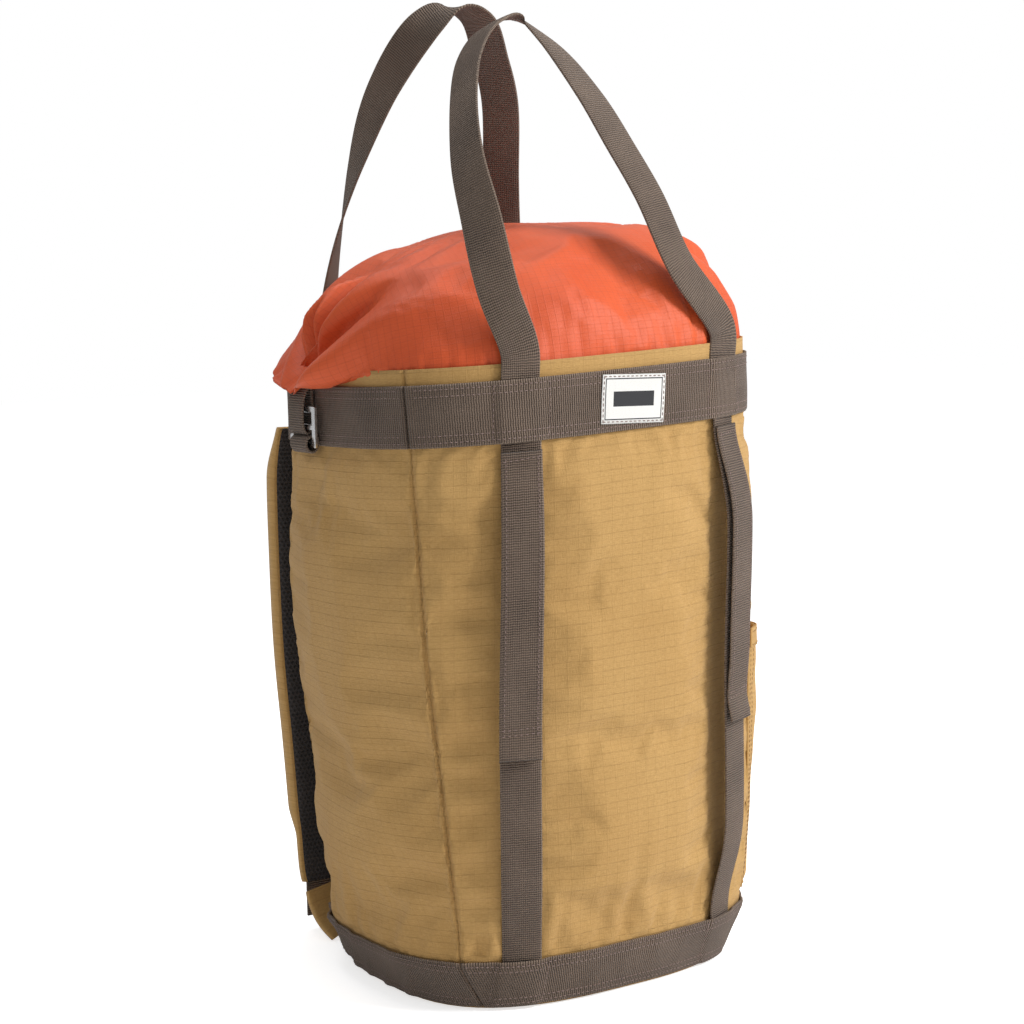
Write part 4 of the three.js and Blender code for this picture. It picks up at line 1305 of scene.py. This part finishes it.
def makeBackPad():
    columns, rows = 66, 96
    form = backPad
    points, uv = [], []
    for side in (0, 1):
        for i in range(rows):
            v = i / (rows - 1)
            z = mix(form["low"], form["high"], v)
            for j in range(columns):
                u = j / (columns - 1)
                a = mix(-form["half"], form["half"], u)
                edge = min(min(u, 1 - u) * 2 * form["half"], min(v, 1 - v) * (form["high"] - form["low"]))
                crown = math.sin(min(edge / 0.016, 1) * math.pi / 2) ** 0.7
                channel = math.exp(-((abs(a) - form["channel"]) / 0.0022) ** 2)
                swellUp = 0.0009 * float(waves(91, np.array([a]), np.array([z]), 5, (0.03, 0.09))[0])
                thick = mix(form["edge"], form["thickness"] + swellUp, crown) - 0.0042 * channel * crown
                points.append(padPlace(a, z, form["start"] + (thick if side else 0)))
                uv.append((a, z))
    piece = makeMesh("back_pad_mesh", points, sewnFaces(rows, columns), uv=uv)
    faceOutward(piece)
    fit(piece, "spacerMesh", "spacer_mesh", "bag", "back_mesh_pad")
    # Binding tape round the pad's edge
    acrossSteps = np.linspace(-form["half"], form["half"], 40)
    upSteps = np.linspace(form["low"], form["high"], 60)
    loop = [(t, form["low"]) for t in acrossSteps] + [(form["half"], t) for t in upSteps[1:]]
    loop += [(t, form["high"]) for t in acrossSteps[::-1][1:]] + [(-form["half"], t) for t in upSteps[::-1][1:-1]]
    profile = bandProfile(0.010, 0.0012, 4)
    middle = np.array([0, (form["low"] + form["high"]) / 2])
    half = np.array([form["half"], (form["high"] - form["low"]) / 2])

    def place(i, s, o):
        a, z = loop[i]
        sway = (np.array([a, z]) - middle) / half
        # Only a point near a side, or near an end, is drawn in from it
        inward = np.copysign(np.maximum(0, (np.abs(sway) - (0.97, 0.98)) / (0.03, 0.02)), sway)
        norm = np.linalg.norm(inward)
        inward = inward / norm if norm else np.array([0.0, 0.0])
        spots = []
        for w, h in zip(s, o):
            aa, zz = a - inward[0] * (0.0035 + w), z - inward[1] * (0.0035 + w)
            depth = form["start"] + form["edge"] + 0.0018 + max(0, 0.0035 + w) * 0.28
            spots.append(padPlace(aa, zz, depth + h))
        return spots

    along = np.concatenate([[0], np.cumsum(np.hypot(*np.diff(np.array(loop), axis=0).T))])
    tape = sweepBand("back_pad_binding", len(loop), along, profile, place, closed=True)
    fit(tape, "webbing", "webbing", "bag")
    inset = 0.0075
    addStitches("bag", [padPlace(a * (1 - inset / half[0]), mix(z, middle[1], inset / half[1]),
                                 form["start"] + form["edge"] + 0.0050)
                        for a, z in loop])
    for c in (-form["channel"], form["channel"]):
        addStitches("bag", [padPlace(c, z, form["start"] + 0.0040)
                            for z in np.linspace(form["low"] + 0.012, form["high"] - 0.012, 70)])


makeBackPad()

shoulderForm = {
    "steps": 150,
    # Each stuffed strip's width, then how far out its two faces and the edges of its two faces lie
    "pad": {"width": 0.056, "low": 0.0032, "high": 0.0172, "edgeLow": 0.0028, "edgeHigh": 0.0146},
    "lining": {"width": 0.052, "low": 0.0002, "high": 0.0031, "edgeLow": 0.0024, "edgeHigh": 0.0042},
    "wingBand": {"width": 0.054, "low": 0.0032, "high": 0.0172, "edgeLow": 0.0040, "edgeHigh": 0.0146},
    # Below the buckle the pad goes on thinner, in to the base
    "thinShare": 0.42, "thinLow": 0.068, "thinHigh": 0.092,
    # The middle's spread, height and distance from the back pad
    "route": ((0.0872, 0.0385, 0.0022), (0.0868, 0.0560, 0.0042), (0.0862, 0.0860, 0.0066),
              (0.0872, 0.1370, 0.0080), (0.0898, 0.2000, 0.0088),
              (0.0900, 0.2666, 0.0085), (0.0895, 0.3250, 0.0070), (0.0890, 0.3530, 0.0015)),
    # The sewn wing carries the same band down under the base belt's corner
    "wing": ((0.0790, 0.0105, -0.0065), (0.0840, 0.0210, -0.0020), (0.0872, 0.0375, 0.0018)),
}


def depthAt(x, z, out):
    width, depth, _ = sizeAt(z)
    power = bodyForm["squareness"]
    return (depth + out) * (1 - abs(x / (width + out)) ** power) ** (1 / power)


def shoulderRoute(side, spots, steps):
    def stand(x, z, out):
        return (side * x, depthAt(x - 0.028, z, 0.0105) + out + bodyForm["middle"], z)
    return centripetal([stand(*spot) for spot in spots], steps)


def thinAt(z):
    full = smooth(z, shoulderForm["thinLow"], shoulderForm["thinHigh"]) * (1 - smooth(z, 0.318, 0.350))
    return mix(shoulderForm["thinShare"], 1.0, float(full))


def makePillow(name, route, side, form, wear):
    # A stuffed strip along the route; wear is its look, slot, body and CAD node
    low, high, width = form["low"], form["high"], form["width"]
    columns = 26
    share = np.linspace(-1, 1, columns)
    tangent = np.gradient(route, axis=0)
    tangent /= np.linalg.norm(tangent, axis=1, keepdims=True)
    across = np.array([1.0, 0, 0]) - tangent * tangent[:, :1]
    across /= np.linalg.norm(across, axis=1, keepdims=True)
    outward = np.cross(across, tangent)
    outward *= np.sign(outward[:, 1:2])
    along = lengths(route)
    points, uv = [], []
    ends = np.minimum(along, along[-1] - along)
    for face in (0, 1):
        for i in range(len(route)):
            tuck = math.sin(min(ends[i] / 0.014, 1) * math.pi / 2) ** 0.6
            thin = thinAt(route[i][2])
            for part in share:
                crown = (1 - abs(part) ** 5) ** 0.5 * tuck
                stitch = 0.0012 * math.exp(-((1 - abs(part)) * width / 2 - 0.0062) ** 2 / 0.0018 ** 2) * tuck
                folds = waves(97 + side, np.array([along[i]]), np.array([part * 0.02]), 4, (0.025, 0.07), lean=0.3)
                crease = 0.0006 * float(folds[0]) * crown
                outer = mix(form["edgeHigh"], high + crease, crown) * thin - stitch
                inner = mix(form["edgeLow"], low, crown) * thin
                sway = part * width / 2 * (1 - 0.05 * (1 - tuck))
                points.append(route[i] + across[i] * sway + outward[i] * (outer if face else inner))
                uv.append((part * width / 2, along[i]))
    piece = makeMesh(name, points, sewnFaces(len(route), columns), uv=uv, lean=None)
    faceOutward(piece)
    fit(piece, *wear)
    if high > 0.004:
        rise = mix(form["edgeHigh"], high, 0.9)
        for edge in (-1, 1):
            line = [route[i] + across[i] * edge * (width / 2 - 0.0060) + outward[i]
                    * (rise * thinAt(route[i][2]) - 0.0010)
                    for i in range(6, len(route) - 6)]
            stitchRows.setdefault((wear[2], "darkThread"), []).append(np.array(line))


def makeShoulderStraps():
    for sideName, side in (("left", -1), ("right", 1)):
        body = sideName + "_shoulder_strap"
        route = shoulderRoute(side, shoulderForm["route"], shoulderForm["steps"])
        form = shoulderForm
        makePillow(body + "_pad", route, side, form["pad"],
                   ("bodyCloth", "body_cloth", body, sideName + "_shoulder_pad"))
        makePillow(body + "_lining", route, side, form["lining"],
                   ("spacerMesh", "spacer_mesh", body, sideName + "_shoulder_mesh"))
        for part, bevel, look, slot in (("_ladder_lock", 0.0007, "plastic", "buckle_plastic"),
                                        ("_buckle_tab", 0.0004, "webbing", "webbing"),
                                        ("_lower_webbing", 0.0004, "webbing", "webbing")):
            fit(copyNode(sideName + part, bevel, 2), look, slot, body, sideName + part)
        wingRoute = shoulderRoute(side, form["wing"], 40)
        makePillow(sideName + "_wing_band", wingRoute, side, form["wingBand"],
                   ("bodyCloth", "body_cloth", "bag", sideName + "_strap_wing"))


makeShoulderStraps()
print("back made")


for nodeName, look, slotName in (("base_panel", "bodyCloth", "body_cloth"),
                                 ("base_stiffener", "foam", "foam_board"),
                                 ("back_foam", "foam", "foam_board")):
    fit(copyNode(nodeName), look, slotName, "bag", nodeName)


stitchForm = {"pitch": 0.0032, "length": 0.0023, "radius": 0.00034, "sides": 6, "rings": 4}


def stitchTree(look):
    # Stitches spaced evenly along each line, each turned to lie along it
    tree = bpy.data.node_groups.new("stitches_" + look, "GeometryNodeTree")
    tree.interface.new_socket("Geometry", in_out="INPUT", socket_type="NodeSocketGeometry")
    inputs = {}
    for name in ("pitch", "length", "radius"):
        inputs[name] = tree.interface.new_socket(name, in_out="INPUT", socket_type="NodeSocketFloat").identifier
    tree.interface.new_socket("Geometry", in_out="OUTPUT", socket_type="NodeSocketGeometry")
    nodes, links = tree.nodes, tree.links
    source, sink = nodes.new("NodeGroupInput"), nodes.new("NodeGroupOutput")
    spaced = nodes.new("GeometryNodeResampleCurve")
    spaced.mode = "LENGTH"
    links.new(source.outputs["Geometry"], spaced.inputs["Curve"])
    links.new(source.outputs["pitch"], spaced.inputs["Length"])
    ball = nodes.new("GeometryNodeMeshUVSphere")
    ball.inputs["Segments"].default_value = stitchForm["sides"]
    ball.inputs["Rings"].default_value = stitchForm["rings"]
    ball.inputs["Radius"].default_value = 1.0
    size = nodes.new("ShaderNodeCombineXYZ")
    half = nodes.new("ShaderNodeMath")
    half.operation = "MULTIPLY"
    half.inputs[1].default_value = 0.5
    links.new(source.outputs["length"], half.inputs[0])
    links.new(source.outputs["radius"], size.inputs[0])
    links.new(source.outputs["radius"], size.inputs[1])
    links.new(half.outputs[0], size.inputs[2])
    tangent = nodes.new("GeometryNodeInputTangent")
    turn = nodes.new("FunctionNodeAlignRotationToVector")
    turn.axis = "Z"
    links.new(tangent.outputs[0], turn.inputs["Vector"])
    placed = nodes.new("GeometryNodeInstanceOnPoints")
    links.new(spaced.outputs[0], placed.inputs["Points"])
    links.new(ball.outputs[0], placed.inputs["Instance"])
    links.new(turn.outputs[0], placed.inputs["Rotation"])
    links.new(size.outputs[0], placed.inputs["Scale"])
    real = nodes.new("GeometryNodeRealizeInstances")
    links.new(placed.outputs[0], real.inputs[0])
    smoothed = nodes.new("GeometryNodeSetShadeSmooth")
    links.new(real.outputs[0], smoothed.inputs[0])
    dyed = nodes.new("GeometryNodeSetMaterial")
    dyed.inputs["Material"].default_value = finishes[look]
    links.new(smoothed.outputs[0], dyed.inputs[0])
    links.new(dyed.outputs[0], sink.inputs[0])
    return tree, inputs


def sewStitches():
    for (body, look), rows in stitchRows.items():
        data = bpy.data.curves.new("seams", "CURVE")
        data.dimensions = "3D"
        for points in rows:
            spline = data.splines.new("POLY")
            spline.points.add(len(points) - 1)
            for point, spot in zip(spline.points, points):
                point.co = (*spot, 1)
        guide = bpy.data.objects.new("seams", data)
        bpy.context.scene.collection.objects.link(guide)
        tree, inputs = stitchTree(look)
        sewn = guide.modifiers.new("stitches", "NODES")
        sewn.node_group = tree
        for name, socket in inputs.items():
            sewn[socket] = stitchForm[name]
        graph = bpy.context.evaluated_depsgraph_get()
        mesh = bpy.data.meshes.new_from_object(guide.evaluated_get(graph))
        bpy.data.objects.remove(guide)
        mesh.name = "stitches_" + body + "_" + look
        piece = bpy.data.objects.new(mesh.name, mesh)
        bpy.context.scene.collection.objects.link(piece)
        if not mesh.materials:
            mesh.materials.append(finishes[look])
        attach(piece, body)
        print(mesh.name, len(mesh.polygons), "faces")


sewStitches()

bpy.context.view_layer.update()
